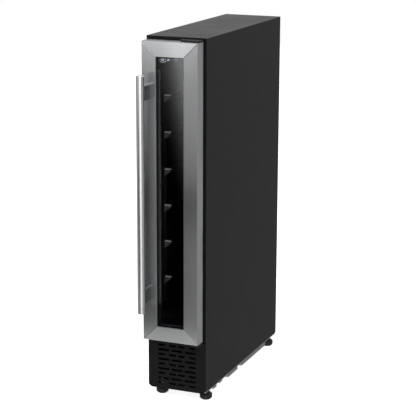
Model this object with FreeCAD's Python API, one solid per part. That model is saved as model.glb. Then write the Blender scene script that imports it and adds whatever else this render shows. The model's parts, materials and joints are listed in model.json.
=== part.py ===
# A slim built-in wine cooler for seven lying bottles, as separate parts.
# Millimetres. +X is the hinge side, +Y points to the back, +Z is up.
# Everything is drawn with the cabinet's front plane at y = 0 and the floor at z = 0,
# and save() moves it so that the origin is the middle of the whole footprint.
import FreeCAD, Part
import math
import os

Vec = FreeCAD.Vector
ALONG_X = Vec(1, 0, 0)
ALONG_Y = Vec(0, 1, 0)
ALONG_Z = Vec(0, 0, 1)

# Cabinet
cabinet_width = 148.0
cabinet_height = 870.0
cabinet_depth = 486.0
sheet = 1.2
wall_insulation = 30.0        # outer face to the inside of the liner
sheet_edge_radius = 0.8
liner_sheet = 1.8
front_frame_depth = 3.0
back_insulation = 34.0
liner_floor_z = 208.0
liner_ceiling_z = 832.0
base_z = 28.0                 # underside of the base tray
tray_sheet = 2.0
side_panel_z = 32.0           # lower edge of the side panels
machine_room_top = 156.5
floor_plate = 1.5

# Door
door_width = 138.0
door_bottom = 159.0
door_top = 862.5
door_thickness = 32.0
door_gap = 7.0                # door back to cabinet front, filled by the gasket
trim_width = 35.0             # face width of the stainless stiles and rails
trim_sheet = 1.2
trim_wrap = 19.0              # how far the trim wraps round the door's side
trim_roll = 1.2               # radius of the rolled outer edge
trim_inner_roll = 1.1
trim_lip = 3.4                # depth of the lip round the glass
mitre_gap = 0.12
mitre_groove = 0.6            # half width of the V along each mitre
mitre_groove_depth = 0.35
door_frame_step = 0.4         # the moulded rear half stands this far inside the trim
door_frame_gap = 0.2          # shadow line between the trim and the rear half
glass_thickness = 4.0
glass_space = 12.0
glass_overlap = 8.0           # how far the glass runs under the trim
glass_clearance = 0.5
retainer_width = 2.0          # rear lip of the door frame, past the trim's inner edge
spacer_width = 9.5
spacer_show = 3.0             # spacer visible inside the trim opening
gasket_width = 12.0
gasket_inset = 7.0            # outer edge of the gasket to the door's edge
gasket_clearance = 0.3
gasket_layers = ((0.0, 2.0, 0.0), (2.0, 4.0, 2.5), (4.0, door_gap - gasket_clearance, 1.0))  # start, end, inset

# Handle
handle_radius = 9.5
handle_wall = 1.5
handle_standoff = 40.0        # door face to the tube's axis
handle_from_edge = 15.0       # door's free edge to the tube's axis
handle_bottom = 235.0
handle_top = 789.0
post_width = 12.0
post_height = 35.0
post_inset = 23.0             # tube end to the post
post_clearance = 0.05
cap_thickness = 2.5
cap_radius = 1.5
post_corner = 2.0
screw_radius = 2.4
screw_head_radius = 4.4
screw_head = 3.5
screw_clearance = 0.1
screw_bite = 16.0             # how far the handle screws reach past the door's face
screw_sink = 0.4

# Hinges
pin_from_edge = 10.0
pin_from_face = 16.0
pin_radius = 3.5
pin_length = 15.0
pin_clearance = 0.05
bush_wall = 2.5
bush_clearance = 0.05
bracket_sheet = 3.2
bracket_tip_radius = 9.0
bracket_tail = 30.0           # how far the plate runs back into the cabinet
bracket_margin = 1.0          # plate edge to the door's side
bracket_root = 12.5           # inner end of each plate at the cabinet front
bracket_shoulder = 38.0       # pin to the corner where the plate's front edge turns
bracket_boss_radius = 6.0
bracket_boss = 3.0
collar_wall = 3.0
hinge_screw_radius = 2.0
hinge_screw_head_radius = 4.0
hinge_screw_head = 1.8
hinge_screw_length = 12.0
hinge_screw_pitch = 20.0
hinge_screw_edge = 5.0        # outer screw to the bracket's outer edge
frame_screw_head = 0.8
frame_screw_length = 12.0
top_screw_x = -25.5
top_screw_head_radius = 2.4
side_screw_zs = (852.0, 831.0, 194.5)
side_screw_head_radius = 1.5
bracket_clearance = 0.7
bracket_collar = 0.3          # door bottom to the lower bracket's collar
pocket_clearance = 0.5

# Shelves and their ledges
shelf_count = 6
top_ledge_z = 728.7
ledge_pitch = 86.8
ledge_front = 32.5
ledge_length = 340.0
ledge_reach = 15.0            # from the liner wall to the ledge's tip
ledge_tip = 4.0
ledge_root = 15.0
shelf_strip = 3.0
shelf_lift = 0.3
shelf_side_clearance = 1.0
shelf_overhang = 1.6
shelf_length = 330.0
wire_radius = 1.5
wire_count = 6
wire_dip = 8.8
wire_margin = 30.0
wire_lap = 0.8                # how far a wire runs into the side strip

# Feet
foot_x = 57.0
foot_front_y = 43.3
foot_rear_y = 467.5
foot_radius = 15.0
foot_pad = 12.5
foot_chamfer = 4.0
foot_shoulder = 17.0
foot_neck_radius = 10.0
foot_stem_radius = 4.0
foot_stem_top = 52.0
thread_clearance = 0.06
foot_nut = 8.0
foot_nut_across = 13.0

# Base tray
tray_lip = 8.0
tray_flange = 26.0
rail_inset = 1.0              # rail to the tray's edge, and to the foot's centre line
rail_spans = ((150.0, 213.0, 9.0), (242.0, 412.0, 9.5))
tab_spans = ((52.0, 72.0, 5.5), (91.0, 107.0, 4.0))
tab_width = 3.0

# Kick plate grille
kick_bottom = 27.0
kick_gap = 0.7
kick_sheet = 3.0
kick_corner = 6.0
slot_rows = 9
slot_pitch = 11.85
slot_height = 5.0
slot_first_z = 41.1
grille_width = 96.5
long_slots = 3
short_slots = 4
slot_web = 5.6
slot_taper = 5.0
slot_corner = 1.2
kick_return = 10.0
kick_return_sheet = 2.0
kick_side_gap = 0.2

# Control panel
control_front = 8.0
fascia_edge_radius = 0.6
board_gap = 4.0               # fascia back to the circuit board
board_drop = 3.0
readout_x = (-14.0, 5.0)
readout_below = 6.0
readout_above = 9.0
light_half_width = 26.0
light_depth = 18.0
light_height = 5.0
light_gap = 6.0
light_edge_radius = 2.0
control_depth = 42.0
control_height = 29.0
fascia_sheet = 2.0
housing_wall = 1.6
board_sheet = 1.6
key_xs = (-36.2, -23.0, 12.0, 27.0)
key_z_drop = 17.0             # liner ceiling to the middle of the keys
key_radius = 5.0

# Cold air side
cover_y = 392.0
cover_sheet = 2.0
cover_slot = 4.0
cover_slot_pitch = 8.0
fan_slots = 9
fan_slot_margin = 2.0
return_slots = 5
return_slot_half = 28.0
return_slot_z = 16.0          # liner floor to the lowest slot
evaporator_rows = 8
header_height = 8.0
header_margin = 4.0
evaporator_bottom = 236.0
evaporator_height = 334.0
evaporator_depth = 40.0
evaporator_half_width = 40.0
fin_sheet = 1.0
evaporator_fins = 14
inner_fan_z = 650.0
inner_fan_radius = 38.0
inner_fan_y = 402.0
fan_depth = 14.0
fan_hub = 12.0
fan_blades = 7
shaft_radius = 2.0
shaft_clearance = 0.06
motor_gap = 4.0
inner_motor_radius = 16.0
motor_depth = 22.0
motor_end_wall = 6.0
motor_plate_half = 40.0
motor_plate_height = 28.0
motor_plate_sheet = 2.0
motor_post_x = 34.0
motor_post_radius = 3.0
blade_sheet = 1.4
blade_chord = 0.48            # of the tip radius
blade_pitch = 38.0            # degrees
sensor_x = 29.0
sensor_z = 757.0
sensor_width = 10.0
sensor_height = 26.0
sensor_depth = 5.0
sensor_radius = 1.5

# Machine room
condenser_y = 58.0
condenser_depth = 32.0
condenser_half_width = 50.0
condenser_top = 140.0
condenser_fins = 22
condenser_rows = 5
tube_radius = 4.0
shroud_half_width = 52.0
shroud_depth = 26.0
shroud_top = 146.0
outer_fan_z = 90.0
outer_fan_radius = 42.0
fan_tip_clearance = 3.0
outer_motor_radius = 18.0
outer_fan_blades = 5
outer_fan_hub = 14.0
outer_fan_inset = 5.0         # condenser back to the fan
motor_arm_width = 8.0
motor_arm_sheet = 3.0
motor_arm_reach = 50.0
motor_arms = 3
shaft_engagement = 10.0
compressor_y = 330.0
compressor_radius = 50.0
compressor_top = 138.0
compressor_round = 18.0
compressor_band_height = 52.0
compressor_band = 4.0
compressor_band_step = 1.5
plate_sheet = 2.5
plate_margin = 11.0
plate_corner = 8.0
stud_nut = 4.0
stud_nut_across = 9.0
stud_rise = 8.0
stud_clearance = 0.1
nut_space = 6.5
terminal_half_width = 17.0
terminal_z = (56.0, 86.0)
terminal_reach = 16.0
terminal_lap = 14.0
grommet_height = 10.0
grommet_radius = 9.0
stud_radius = 3.0
mount_x = 38.0
mount_y = 44.0
drip_tray_height = 12.0
drip_tray_wall = 1.5
drip_tray_x = (-44.0, 27.0)
drip_tray_front = 34.0        # compressor's middle to the tray's front
drip_tray_back = 18.0         # drain's middle to the tray's back
drain_gap = 2.0
drain_rim = 3.0
drain_rim_sheet = 1.2
drain_x = 0.0
drain_y = 420.0
drain_radius = 5.0
drain_bore = 3.5
pipe_radius = 3.0
pipe_end_gap = 0.3
pipe_shell_gap = 3.2          # compressor shell to a pipe's cut end
pipe_run_z = 112.0
suction_bend = 14.0
discharge_bend = 9.0
liquid_bend = 6.0
capillary_bend = 8.0
discharge_x = -30.0
discharge_side_x = -62.0
discharge_lead = 36.0
discharge_slope = 26.0
pipe_inset = 4.0              # evaporator side to the pipes
suction_inset = 22.0          # liner back to the suction pipe
pipe_spacing = 8.0
pocket_margin = 2.0
capillary_radius = 1.2
drier_radius = 8.0
drier_length = 80.0
drier_x = 60.0
drier_y = 130.0
drier_z = 44.0
saddle_width = 10.0
saddle_start = 20.0
saddle_length = 14.0
gland_x = -40.0
gland_z = 60.0
gland_radius = 9.0
gland_bore = 4.0
gland_neck_wall = 3.0
gland_flange = 3.0
louvre_count = 7
louvre_pitch = 9.0
louvre_height = 4.0
louvre_x = (-10.0, 56.0)
louvre_z = 50.0               # tray to the lowest louvre

# Places that follow from the sizes above
half_width = cabinet_width / 2
inner_half = half_width - wall_insulation
panel_inside = half_width - sheet
panel_top = cabinet_height - sheet
back_inside = cabinet_depth - sheet
liner_back = cabinet_depth - back_insulation
tray_top = base_z + tray_sheet
door_half = door_width / 2
door_back = -door_gap
door_front = door_back - door_thickness
trim_inner_half = door_half - trim_width
glass_bottom = door_bottom + trim_width
glass_top = door_top - trim_width
glass_front = door_front + trim_lip
pane_half = trim_inner_half + glass_overlap
pin_x = door_half - pin_from_edge
pin_y = door_front + pin_from_face
handle_x = -door_half + handle_from_edge
handle_y = door_front - handle_standoff
handle_front = handle_y - handle_radius
kick_top = machine_room_top - bracket_sheet - kick_gap
bracket_top_z = door_top + bracket_clearance
ledge_tip_x = inner_half - ledge_reach
ledge_zs = [top_ledge_z - ledge_pitch * i for i in range(shelf_count)]
key_z = liner_ceiling_z - key_z_drop
post_zs = (handle_bottom + post_inset + post_height / 2, handle_top - post_inset - post_height / 2)
pipe_x = evaporator_half_width - pipe_inset
suction_y = liner_back - suction_inset
capillary_y = suction_y + pipe_spacing
pipe_room = pipe_radius + pocket_margin
pipe_pocket = ((pipe_x - pipe_room, pipe_x + pipe_room), (suction_y - pipe_room, capillary_y + pipe_room))
bracket_edge = door_half - bracket_margin
hinge_screw_xs = (bracket_edge - hinge_screw_edge - hinge_screw_pitch, bracket_edge - hinge_screw_edge)
hinge_screw_y = bracket_tail * 0.6
floor_plate_top = machine_room_top + floor_plate
shift_y = -(cabinet_depth + handle_front) / 2


def block(x, y, z):
    # A box given by its (low, high) limits on each axis.
    return Part.makeBox(x[1] - x[0], y[1] - y[0], z[1] - z[0], Vec(x[0], y[0], z[0]))


def rod(radius, start, length, axis):
    return Part.makeCylinder(radius, length, Vec(*start), axis)


def tube(radius, bore, start, length, axis):
    return rod(radius, start, length, axis).cut(rod(bore, start, length, axis))


def ring(outer_half, inner_half_width, y, z_outer, z_inner):
    # An upright rectangular frame, seen from the front.
    outer = block((-outer_half, outer_half), y, z_outer)
    return outer.cut(block((-inner_half_width, inner_half_width), (y[0] - 1, y[1] + 1), z_inner))


def upright_prism(points, y):
    # Extrudes an outline of (x, z) points from y[0] to y[1].
    corners = [Vec(px, y[0], pz) for px, pz in points]
    face = Part.Face(Part.makePolygon(corners + corners[:1]))
    return face.extrude(Vec(0, y[1] - y[0], 0))


def flat_prism(points, z):
    # Extrudes an outline of (x, y) points from z[0] to z[1].
    corners = [Vec(px, py, z[0]) for px, py in points]
    face = Part.Face(Part.makePolygon(corners + corners[:1]))
    return face.extrude(Vec(0, 0, z[1] - z[0]))


def hexagon(across, centre, z):
    corner = across / math.sqrt(3)
    angles = [math.radians(60 * i + 30) for i in range(6)]
    return flat_prism([(centre[0] + corner * math.cos(a), centre[1] + corner * math.sin(a)) for a in angles], z)


def edges_where(shape, test):
    return [edge for edge in shape.Edges if test(edge.BoundBox)]


def pipe(points, radius, bend):
    # A round pipe through the points, with an arc of radius bend at each inner point.
    places = [Vec(*p) for p in points]
    edges = []
    start = places[0]
    for before, corner, after in zip(places, places[1:], places[2:]):
        u = (corner - before).normalize()
        v = (after - corner).normalize()
        half_turn = u.getAngle(v) / 2
        reach = bend * math.tan(half_turn)
        inward = (v - u).normalize()
        middle = corner + inward * (bend / math.cos(half_turn) - bend)
        edges.append(Part.makeLine(start, corner - u * reach))
        edges.append(Part.Arc(corner - u * reach, middle, corner + v * reach).toShape())
        start = corner + v * reach
    edges.append(Part.makeLine(start, places[-1]))
    path = Part.Wire(edges)
    section = Part.Wire(Part.makeCircle(radius, places[0], places[1] - places[0]))
    return path.makePipeShell([section], True, True)


def save(node, *solids):
    shape = solids[0].copy() if len(solids) == 1 else Part.makeCompound([s.copy() for s in solids])
    shape.translate(Vec(0, shift_y, 0))
    shape.exportStep("parts/" + node + ".step")


# Cabinet shell

def side_panel(side):
    xs = sorted((side * panel_inside, side * half_width))
    panel = block(xs, (0, cabinet_depth), (side_panel_z, panel_top))
    outer_edges = edges_where(panel, lambda b: b.ZLength > 1 and b.YMax < 1 and abs(b.XMin) > panel_inside + 0.1)
    return panel.makeFillet(sheet_edge_radius, outer_edges)


def top_panel():
    panel = block((-half_width, half_width), (0, cabinet_depth), (panel_top, cabinet_height))
    rim = edges_where(panel, lambda b: b.ZMin > cabinet_height - 0.1)
    return panel.makeFillet(sheet_edge_radius, rim)


def back_panel():
    return block((-panel_inside, panel_inside), (back_inside, cabinet_depth), (machine_room_top, panel_top))


def top_bracket_pocket():
    c = pocket_clearance
    return block((bracket_root - c, bracket_edge + c), (-1, bracket_tail + c),
                 (bracket_top_z - c, bracket_top_z + bracket_sheet + c))


def front_frame():
    frame = ring(panel_inside, inner_half, (0, front_frame_depth),
                 (floor_plate_top, panel_top), (liner_floor_z, liner_ceiling_z))
    frame = frame.cut(top_bracket_pocket())
    for x, z, radius in frame_screw_spots():
        frame = frame.cut(rod(radius / 2 + screw_clearance, (x, -1, z), front_frame_depth + 2, ALONG_Y))
    return frame


def frame_screw_spots():
    # (x, z, head radius): one above the door, and the others in the strip beside its hinge side.
    strip_x = (door_half + panel_inside) / 2
    beside = [(strip_x, z, side_screw_head_radius) for z in side_screw_zs]
    return [(top_screw_x, (door_top + panel_top) / 2, top_screw_head_radius)] + beside


def insulation_foam():
    foam = block((-panel_inside, panel_inside), (front_frame_depth, back_inside), (floor_plate_top, panel_top))
    foam = foam.cut(liner_outside())
    foam = foam.cut(top_bracket_pocket())
    foam = foam.cut(block(*pipe_pocket, (floor_plate_top, liner_floor_z)))
    drain_length = liner_floor_z - floor_plate_top
    foam = foam.cut(rod(drain_radius + screw_clearance, (drain_x, drain_y, floor_plate_top), drain_length, ALONG_Z))
    hole = hinge_screw_radius + screw_clearance
    depth = hinge_screw_length + 2
    for x in hinge_screw_xs:
        head_room = hinge_screw_head_radius + pocket_clearance
        foam = foam.cut(rod(head_room, (x, hinge_screw_y, bracket_top_z), panel_top - bracket_top_z, ALONG_Z))
        foam = foam.cut(rod(hole, (x, hinge_screw_y, bracket_top_z - depth), depth, ALONG_Z))
        foam = foam.cut(rod(hole, (x, hinge_screw_y, floor_plate_top), depth, ALONG_Z))
    for x, z, radius in frame_screw_spots():
        foam = foam.cut(rod(radius / 2 + screw_clearance, (x, 0, z), frame_screw_length + 1, ALONG_Y))
    return foam


def liner_outside():
    t = liner_sheet
    return block((-inner_half - t, inner_half + t), (front_frame_depth, liner_back + t),
                 (liner_floor_z - t, liner_ceiling_z + t))


def inner_liner():
    liner = liner_outside().cut(block((-inner_half, inner_half), (0, liner_back), (liner_floor_z, liner_ceiling_z)))
    under = liner_floor_z - liner_sheet
    liner = liner.cut(block(*pipe_pocket, (under, liner_floor_z)))
    return liner.cut(rod(drain_radius + screw_clearance, (drain_x, drain_y, under), liner_sheet, ALONG_Z))


def compartment_floor():
    span_z = (machine_room_top, floor_plate_top)
    plate = block((-panel_inside, panel_inside), (front_frame_depth, back_inside), span_z)
    plate = plate.cut(block(*pipe_pocket, span_z))
    plate = plate.cut(rod(drain_radius + screw_clearance, (drain_x, drain_y, machine_room_top), floor_plate, ALONG_Z))
    for x in hinge_screw_xs:
        hole = hinge_screw_radius + screw_clearance
        plate = plate.cut(rod(hole, (x, hinge_screw_y, machine_room_top), floor_plate, ALONG_Z))
    return plate


def shelf_ledges():
    ledges = []
    for side in (-1, 1):
        for z in ledge_zs:
            outline = [(side * inner_half, z), (side * ledge_tip_x, z), (side * ledge_tip_x, z - ledge_tip),
                       (side * inner_half, z - ledge_root)]
            ledges.append(upright_prism(outline, (ledge_front, ledge_front + ledge_length)))
    return ledges


# Shelves

def shelf(ledge_z):
    low = ledge_z + shelf_lift
    inner = ledge_tip_x - shelf_overhang
    outer = inner_half - shelf_side_clearance
    ys = (ledge_front, ledge_front + shelf_length)
    tray = block((-outer, -inner), ys, (low, low + shelf_strip))
    tray = tray.fuse(block((inner, outer), ys, (low, low + shelf_strip)))
    span = inner + wire_lap
    bend = (span * span + wire_dip * wire_dip) / (2 * wire_dip)
    wire_z = low + shelf_strip / 2
    centre_z = wire_z - wire_dip + bend
    half_angle = math.degrees(math.asin(span / bend))
    step = (shelf_length - 2 * wire_margin) / (wire_count - 1)
    for i in range(wire_count):
        y = ledge_front + wire_margin + step * i
        section = Part.Face(Part.Wire(Part.makeCircle(wire_radius, Vec(0, y, centre_z - bend), ALONG_X)))
        section.rotate(Vec(0, y, centre_z), ALONG_Y, half_angle)
        tray = tray.fuse(section.revolve(Vec(0, y, centre_z), ALONG_Y, -2 * half_angle))
    return tray.removeSplitter()


# Control panel and light

def control_housing():
    z = (liner_ceiling_z - control_height, liner_ceiling_z)
    x = (-inner_half + pocket_clearance, inner_half - pocket_clearance)
    y = (control_front + fascia_sheet, control_front + control_depth)
    w = housing_wall
    shell = block(x, y, z)
    return shell.cut(block((x[0] + w, x[1] - w), (y[0], y[1] - w), (z[0] + w, z[1])))


def control_fascia():
    z = (liner_ceiling_z - control_height, liner_ceiling_z)
    x = inner_half - pocket_clearance
    panel = block((-x, x), (control_front, control_front + fascia_sheet), z)
    rim = edges_where(panel, lambda b: b.YMax < control_front + 0.1)
    return panel.makeFillet(fascia_edge_radius, rim)


def display_module():
    behind = control_front + fascia_sheet
    board_y = behind + board_gap
    w = housing_wall
    z = (liner_ceiling_z - control_height + w, liner_ceiling_z - board_drop)
    x = inner_half - pocket_clearance - w
    board = block((-x, x), (board_y, board_y + board_sheet), z)
    readout = block(readout_x, (behind, board_y), (key_z - readout_below, key_z + readout_above))
    return board.fuse(readout)


def touch_keys():
    behind = control_front + fascia_sheet
    return [rod(key_radius, (x, behind, key_z), board_gap, ALONG_Y) for x in key_xs]


def light_strip():
    start = control_front + control_depth + light_gap
    low = liner_ceiling_z - light_height
    strip = block((-light_half_width, light_half_width), (start, start + light_depth), (low, liner_ceiling_z))
    rim = edges_where(strip, lambda b: b.ZMax < low + 0.1)
    return strip.makeFillet(light_edge_radius, rim)


# Cold air side

def evaporator_cover():
    x = inner_half - pocket_clearance
    cover = block((-x, x), (cover_y, cover_y + cover_sheet), (liner_floor_z, liner_ceiling_z))
    ys = (cover_y - 1, cover_y + cover_sheet + 1)
    for i in range(fan_slots):
        offset = (i - (fan_slots - 1) / 2) * cover_slot_pitch
        reach = math.sqrt(inner_fan_radius ** 2 - offset ** 2) - fan_slot_margin
        low = inner_fan_z + offset - cover_slot / 2
        cover = cover.cut(block((-reach, reach), ys, (low, low + cover_slot)))
    for i in range(return_slots):
        low = liner_floor_z + return_slot_z + cover_slot_pitch * i
        cover = cover.cut(block((-return_slot_half, return_slot_half), ys, (low, low + cover_slot)))
    return cover


def fin_pack(half, ys, zs, fins, rows):
    # Upright fins across the air's way, threaded on level tubes.
    pitch = (2 * half - fin_sheet) / (fins - 1)
    sheets = [block((-half + pitch * i, -half + pitch * i + fin_sheet), ys, zs) for i in range(fins)]
    heights = [zs[0] + (zs[1] - zs[0]) * (i + 0.5) / rows for i in range(rows)]
    tubes = [rod(tube_radius, (-half, (ys[0] + ys[1]) / 2, z), 2 * half, ALONG_X) for z in heights]
    return sheets[0].multiFuse(sheets[1:] + tubes)


def evaporator():
    zs = (evaporator_bottom, evaporator_bottom + evaporator_height)
    ys = (liner_back - evaporator_depth, liner_back)
    core = fin_pack(evaporator_half_width, ys, zs, evaporator_fins, evaporator_rows)
    header = block((pipe_x - header_margin, pipe_x + header_margin),
                   (suction_y - header_margin, capillary_y + header_margin), (zs[0], zs[0] + header_height))
    return core.fuse(header)


def fan(centre_z, start_y, radius, hub, blades, shaft):
    # An axial fan on a Y axis: a hub, pitched blades trimmed to the tip circle, and its shaft.
    rotor = rod(hub, (0, start_y, centre_z), fan_depth, ALONG_Y)
    middle = Vec(0, start_y + fan_depth / 2, centre_z)
    swept = tube(radius, hub - 1, (0, start_y, centre_z), fan_depth, ALONG_Y)
    for i in range(blades):
        half_chord = radius * blade_chord / 2
        blade = block((-half_chord, half_chord), (middle.y - blade_sheet / 2, middle.y + blade_sheet / 2),
                      (centre_z, centre_z + radius + 2))
        blade.rotate(middle, ALONG_Z, blade_pitch)
        blade.rotate(middle, ALONG_Y, 360.0 * i / blades)
        rotor = rotor.fuse(blade.common(swept))
    return rotor.fuse(rod(shaft_radius, (0, start_y + fan_depth, centre_z), shaft, ALONG_Y))


def motor_can(centre_z, start_y, radius):
    can = rod(radius, (0, start_y, centre_z), motor_depth, ALONG_Y)
    bore = rod(shaft_radius + shaft_clearance, (0, start_y, centre_z), motor_depth - motor_end_wall, ALONG_Y)
    return can.cut(bore)


def circulation_fan_motor():
    start = inner_fan_y + fan_depth + motor_gap
    back = start + motor_depth
    plate_back = back + motor_plate_sheet
    half_height = motor_plate_height / 2
    can = motor_can(inner_fan_z, start, inner_motor_radius)
    can = can.fuse(block((-motor_plate_half, motor_plate_half), (back, plate_back),
                         (inner_fan_z - half_height, inner_fan_z + half_height)))
    for x in (-motor_post_x, motor_post_x):
        can = can.fuse(rod(motor_post_radius, (x, plate_back, inner_fan_z), liner_back - plate_back, ALONG_Y))
    return can


def temperature_sensor():
    front = cover_y - sensor_depth
    body = block((sensor_x - sensor_width / 2, sensor_x + sensor_width / 2), (front, cover_y),
                 (sensor_z - sensor_height / 2, sensor_z + sensor_height / 2))
    return body.makeFillet(sensor_radius, edges_where(body, lambda b: b.YMax < front + 0.1))


# Base and machine room

def foot_spots():
    return [(x, y) for y in (foot_front_y, foot_rear_y) for x in (-foot_x, foot_x)]


def base_tray():
    front = kick_sheet
    tray = block((-panel_inside, panel_inside), (front, back_inside), (base_z, tray_top))
    tray = tray.fuse(block((-panel_inside, panel_inside), (front, front + sheet), (tray_top, tray_top + tray_lip)))
    for side in (-1, 1):
        flange_x = sorted((side * (panel_inside - sheet), side * panel_inside))
        rail_x = sorted((side * (foot_x + rail_inset), side * (panel_inside - rail_inset)))
        tab_x = sorted((side * (panel_inside - tab_width), side * panel_inside))
        tray = tray.fuse(block(flange_x, (front, back_inside), (tray_top, tray_top + tray_flange)))
        for xs, spans in ((rail_x, rail_spans), (tab_x, tab_spans)):
            for start, end, depth in spans:
                tray = tray.fuse(block(xs, (start, end), (base_z - depth, base_z)))
    for spot in foot_spots():
        tray = tray.fuse(hexagon(foot_nut_across, spot, (tray_top, tray_top + foot_nut)))
        bore = rod(foot_stem_radius + thread_clearance, (*spot, base_z - 1), tray_sheet + foot_nut + 2, ALONG_Z)
        tray = tray.cut(bore)
    return tray


def foot(spot):
    pad = rod(foot_radius, (*spot, 0), foot_pad, ALONG_Z)
    pad = pad.makeChamfer(foot_chamfer, edges_where(pad, lambda b: b.ZMax < 0.1))
    shoulder = Part.makeCone(foot_radius, foot_neck_radius, foot_shoulder - foot_pad, Vec(*spot, foot_pad), ALONG_Z)
    stem = rod(foot_stem_radius, (*spot, foot_shoulder), foot_stem_top - foot_shoulder, ALONG_Z)
    return pad.fuse(shoulder).fuse(stem)


def slot_outline(x0, x1, z, taper):
    # taper: 0 for a plain slot, 1 for a slanted right end, -1 for a slanted left end.
    low = z - slot_height / 2
    high = z + slot_height / 2
    left_cut = slot_taper if taper < 0 else 0
    right_cut = slot_taper if taper > 0 else 0
    return [(x0 + left_cut, low), (x1 - right_cut, low), (x1, high), (x0, high)]


def kick_plate():
    x = panel_inside - kick_side_gap
    c = kick_corner
    outline = [(-x + c, kick_bottom), (x - c, kick_bottom), (x, kick_bottom + c), (x, kick_top),
               (-x, kick_top), (-x, kick_bottom + c)]
    plate = upright_prism(outline, (0, kick_sheet))
    plate = plate.fuse(block((-x, x), (kick_sheet, kick_sheet + kick_return), (kick_top - kick_return_sheet, kick_top)))
    for row in range(slot_rows):
        count = long_slots if row % 2 else short_slots
        length = (grille_width - (count - 1) * slot_web) / count
        z = slot_first_z + slot_pitch * row
        for i in range(count):
            start = -grille_width / 2 + (length + slot_web) * i
            taper = 0 if row % 2 else (1 if i % 2 == 0 else -1)
            cutter = upright_prism(slot_outline(start, start + length, z, taper), (-1, kick_sheet + 1))
            cutter = cutter.makeFillet(slot_corner, edges_where(cutter, lambda b: b.YLength > kick_sheet))
            plate = plate.cut(cutter)
    return plate


def rear_cover():
    z = (tray_top, machine_room_top)
    cover = block((-panel_inside + sheet, panel_inside - sheet), (back_inside, cabinet_depth), z)
    for i in range(louvre_count):
        low = tray_top + louvre_z + louvre_pitch * i
        cover = cover.cut(block(louvre_x, (back_inside - 1, cabinet_depth + 1), (low, low + louvre_height)))
    neck = gland_radius - gland_neck_wall + screw_clearance
    return cover.cut(rod(neck, (gland_x, back_inside - 1, gland_z), sheet + 2, ALONG_Y))


def cord_gland():
    start = back_inside - gland_flange
    flange = rod(gland_radius, (gland_x, start, gland_z), gland_flange, ALONG_Y)
    neck = rod(gland_radius - gland_neck_wall, (gland_x, back_inside, gland_z), sheet, ALONG_Y)
    bore = rod(gland_bore, (gland_x, start - 1, gland_z), gland_flange + sheet + 2, ALONG_Y)
    return flange.fuse(neck).cut(bore)


def compressor_spots():
    return [(x, compressor_y + y) for x in (-mount_x, mount_x) for y in (-mount_y, mount_y)]


def compressor():
    low = tray_top + grommet_height
    body = rod(compressor_radius, (0, compressor_y, low), compressor_top - low, ALONG_Z)
    body = body.makeFillet(compressor_round, edges_where(body, lambda b: b.ZMin > compressor_top - 0.1))
    band = rod(compressor_radius + compressor_band_step, (0, compressor_y, low + compressor_band_height),
               compressor_band, ALONG_Z)
    reach_x = mount_x + plate_margin
    reach_y = mount_y + plate_margin
    plate = block((-reach_x, reach_x), (compressor_y - reach_y, compressor_y + reach_y), (low, low + plate_sheet))
    plate = plate.makeFillet(plate_corner, edges_where(plate, lambda b: b.ZLength > plate_sheet - 0.1))
    shell = body.fuse(band).fuse(plate)
    for spot in compressor_spots():
        shell = shell.cut(rod(nut_space, (*spot, low + plate_sheet), stud_rise + 1, ALONG_Z))
        shell = shell.cut(rod(stud_radius + 2 * stud_clearance, (*spot, low - 1), plate_sheet + 2, ALONG_Z))
    return shell


def compressor_mounts():
    solids = []
    nut_z = tray_top + grommet_height + plate_sheet
    for spot in compressor_spots():
        solids.append(tube(grommet_radius, stud_radius + stud_clearance, (*spot, tray_top), grommet_height, ALONG_Z))
        nut = hexagon(stud_nut_across, spot, (nut_z, nut_z + stud_nut))
        solids.append(nut.fuse(rod(stud_radius, (*spot, tray_top), nut_z + stud_rise - tray_top, ALONG_Z)))
    return solids


def terminal_cover():
    y = compressor_y - compressor_radius
    cover = block((-terminal_half_width, terminal_half_width), (y - terminal_reach, y + terminal_lap), terminal_z)
    return cover.cut(rod(compressor_radius + stud_clearance, (0, compressor_y, tray_top), compressor_top, ALONG_Z))


def condenser():
    ys = (condenser_y, condenser_y + condenser_depth)
    return fin_pack(condenser_half_width, ys, (tray_top, condenser_top), condenser_fins, condenser_rows)


def condenser_shroud():
    start = condenser_y + condenser_depth
    ys = (start, start + shroud_depth)
    shroud = block((-shroud_half_width, shroud_half_width), ys, (tray_top, shroud_top))
    return shroud.cut(rod(outer_fan_radius + fan_tip_clearance, (0, start - 1, outer_fan_z), shroud_depth + 2, ALONG_Y))


def outer_fan_start():
    return condenser_y + condenser_depth + outer_fan_inset


def condenser_fan_motor():
    plate_y = condenser_y + condenser_depth + shroud_depth
    can = motor_can(outer_fan_z, plate_y, outer_motor_radius)
    half = motor_arm_width / 2
    for i in range(motor_arms):
        arm = block((-half, half), (plate_y, plate_y + motor_arm_sheet),
                    (outer_fan_z + outer_motor_radius - 2, outer_fan_z + motor_arm_reach))
        arm.rotate(Vec(0, plate_y, outer_fan_z), ALONG_Y, 360 / motor_arms * i + 45)
        can = can.fuse(arm)
    return can


def condenser_fan():
    shaft = shroud_depth + shaft_engagement - outer_fan_inset - fan_depth
    return fan(outer_fan_z, outer_fan_start(), outer_fan_radius, outer_fan_hub, outer_fan_blades, shaft)


def circulation_fan():
    return fan(inner_fan_z, inner_fan_y, inner_fan_radius, fan_hub, fan_blades, motor_gap + shaft_engagement)


def filter_drier():
    body = rod(drier_radius, (drier_x, drier_y, drier_z), drier_length, ALONG_Y)
    start = drier_y + saddle_start
    saddle = block((drier_x - saddle_width / 2, drier_x + saddle_width / 2), (start, start + saddle_length),
                   (tray_top, drier_z))
    return body.fuse(saddle)


def shell_reach(x):
    # How far from the compressor's middle a pipe at x meets its shell.
    return math.sqrt(compressor_radius ** 2 - x ** 2) + pipe_shell_gap


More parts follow.
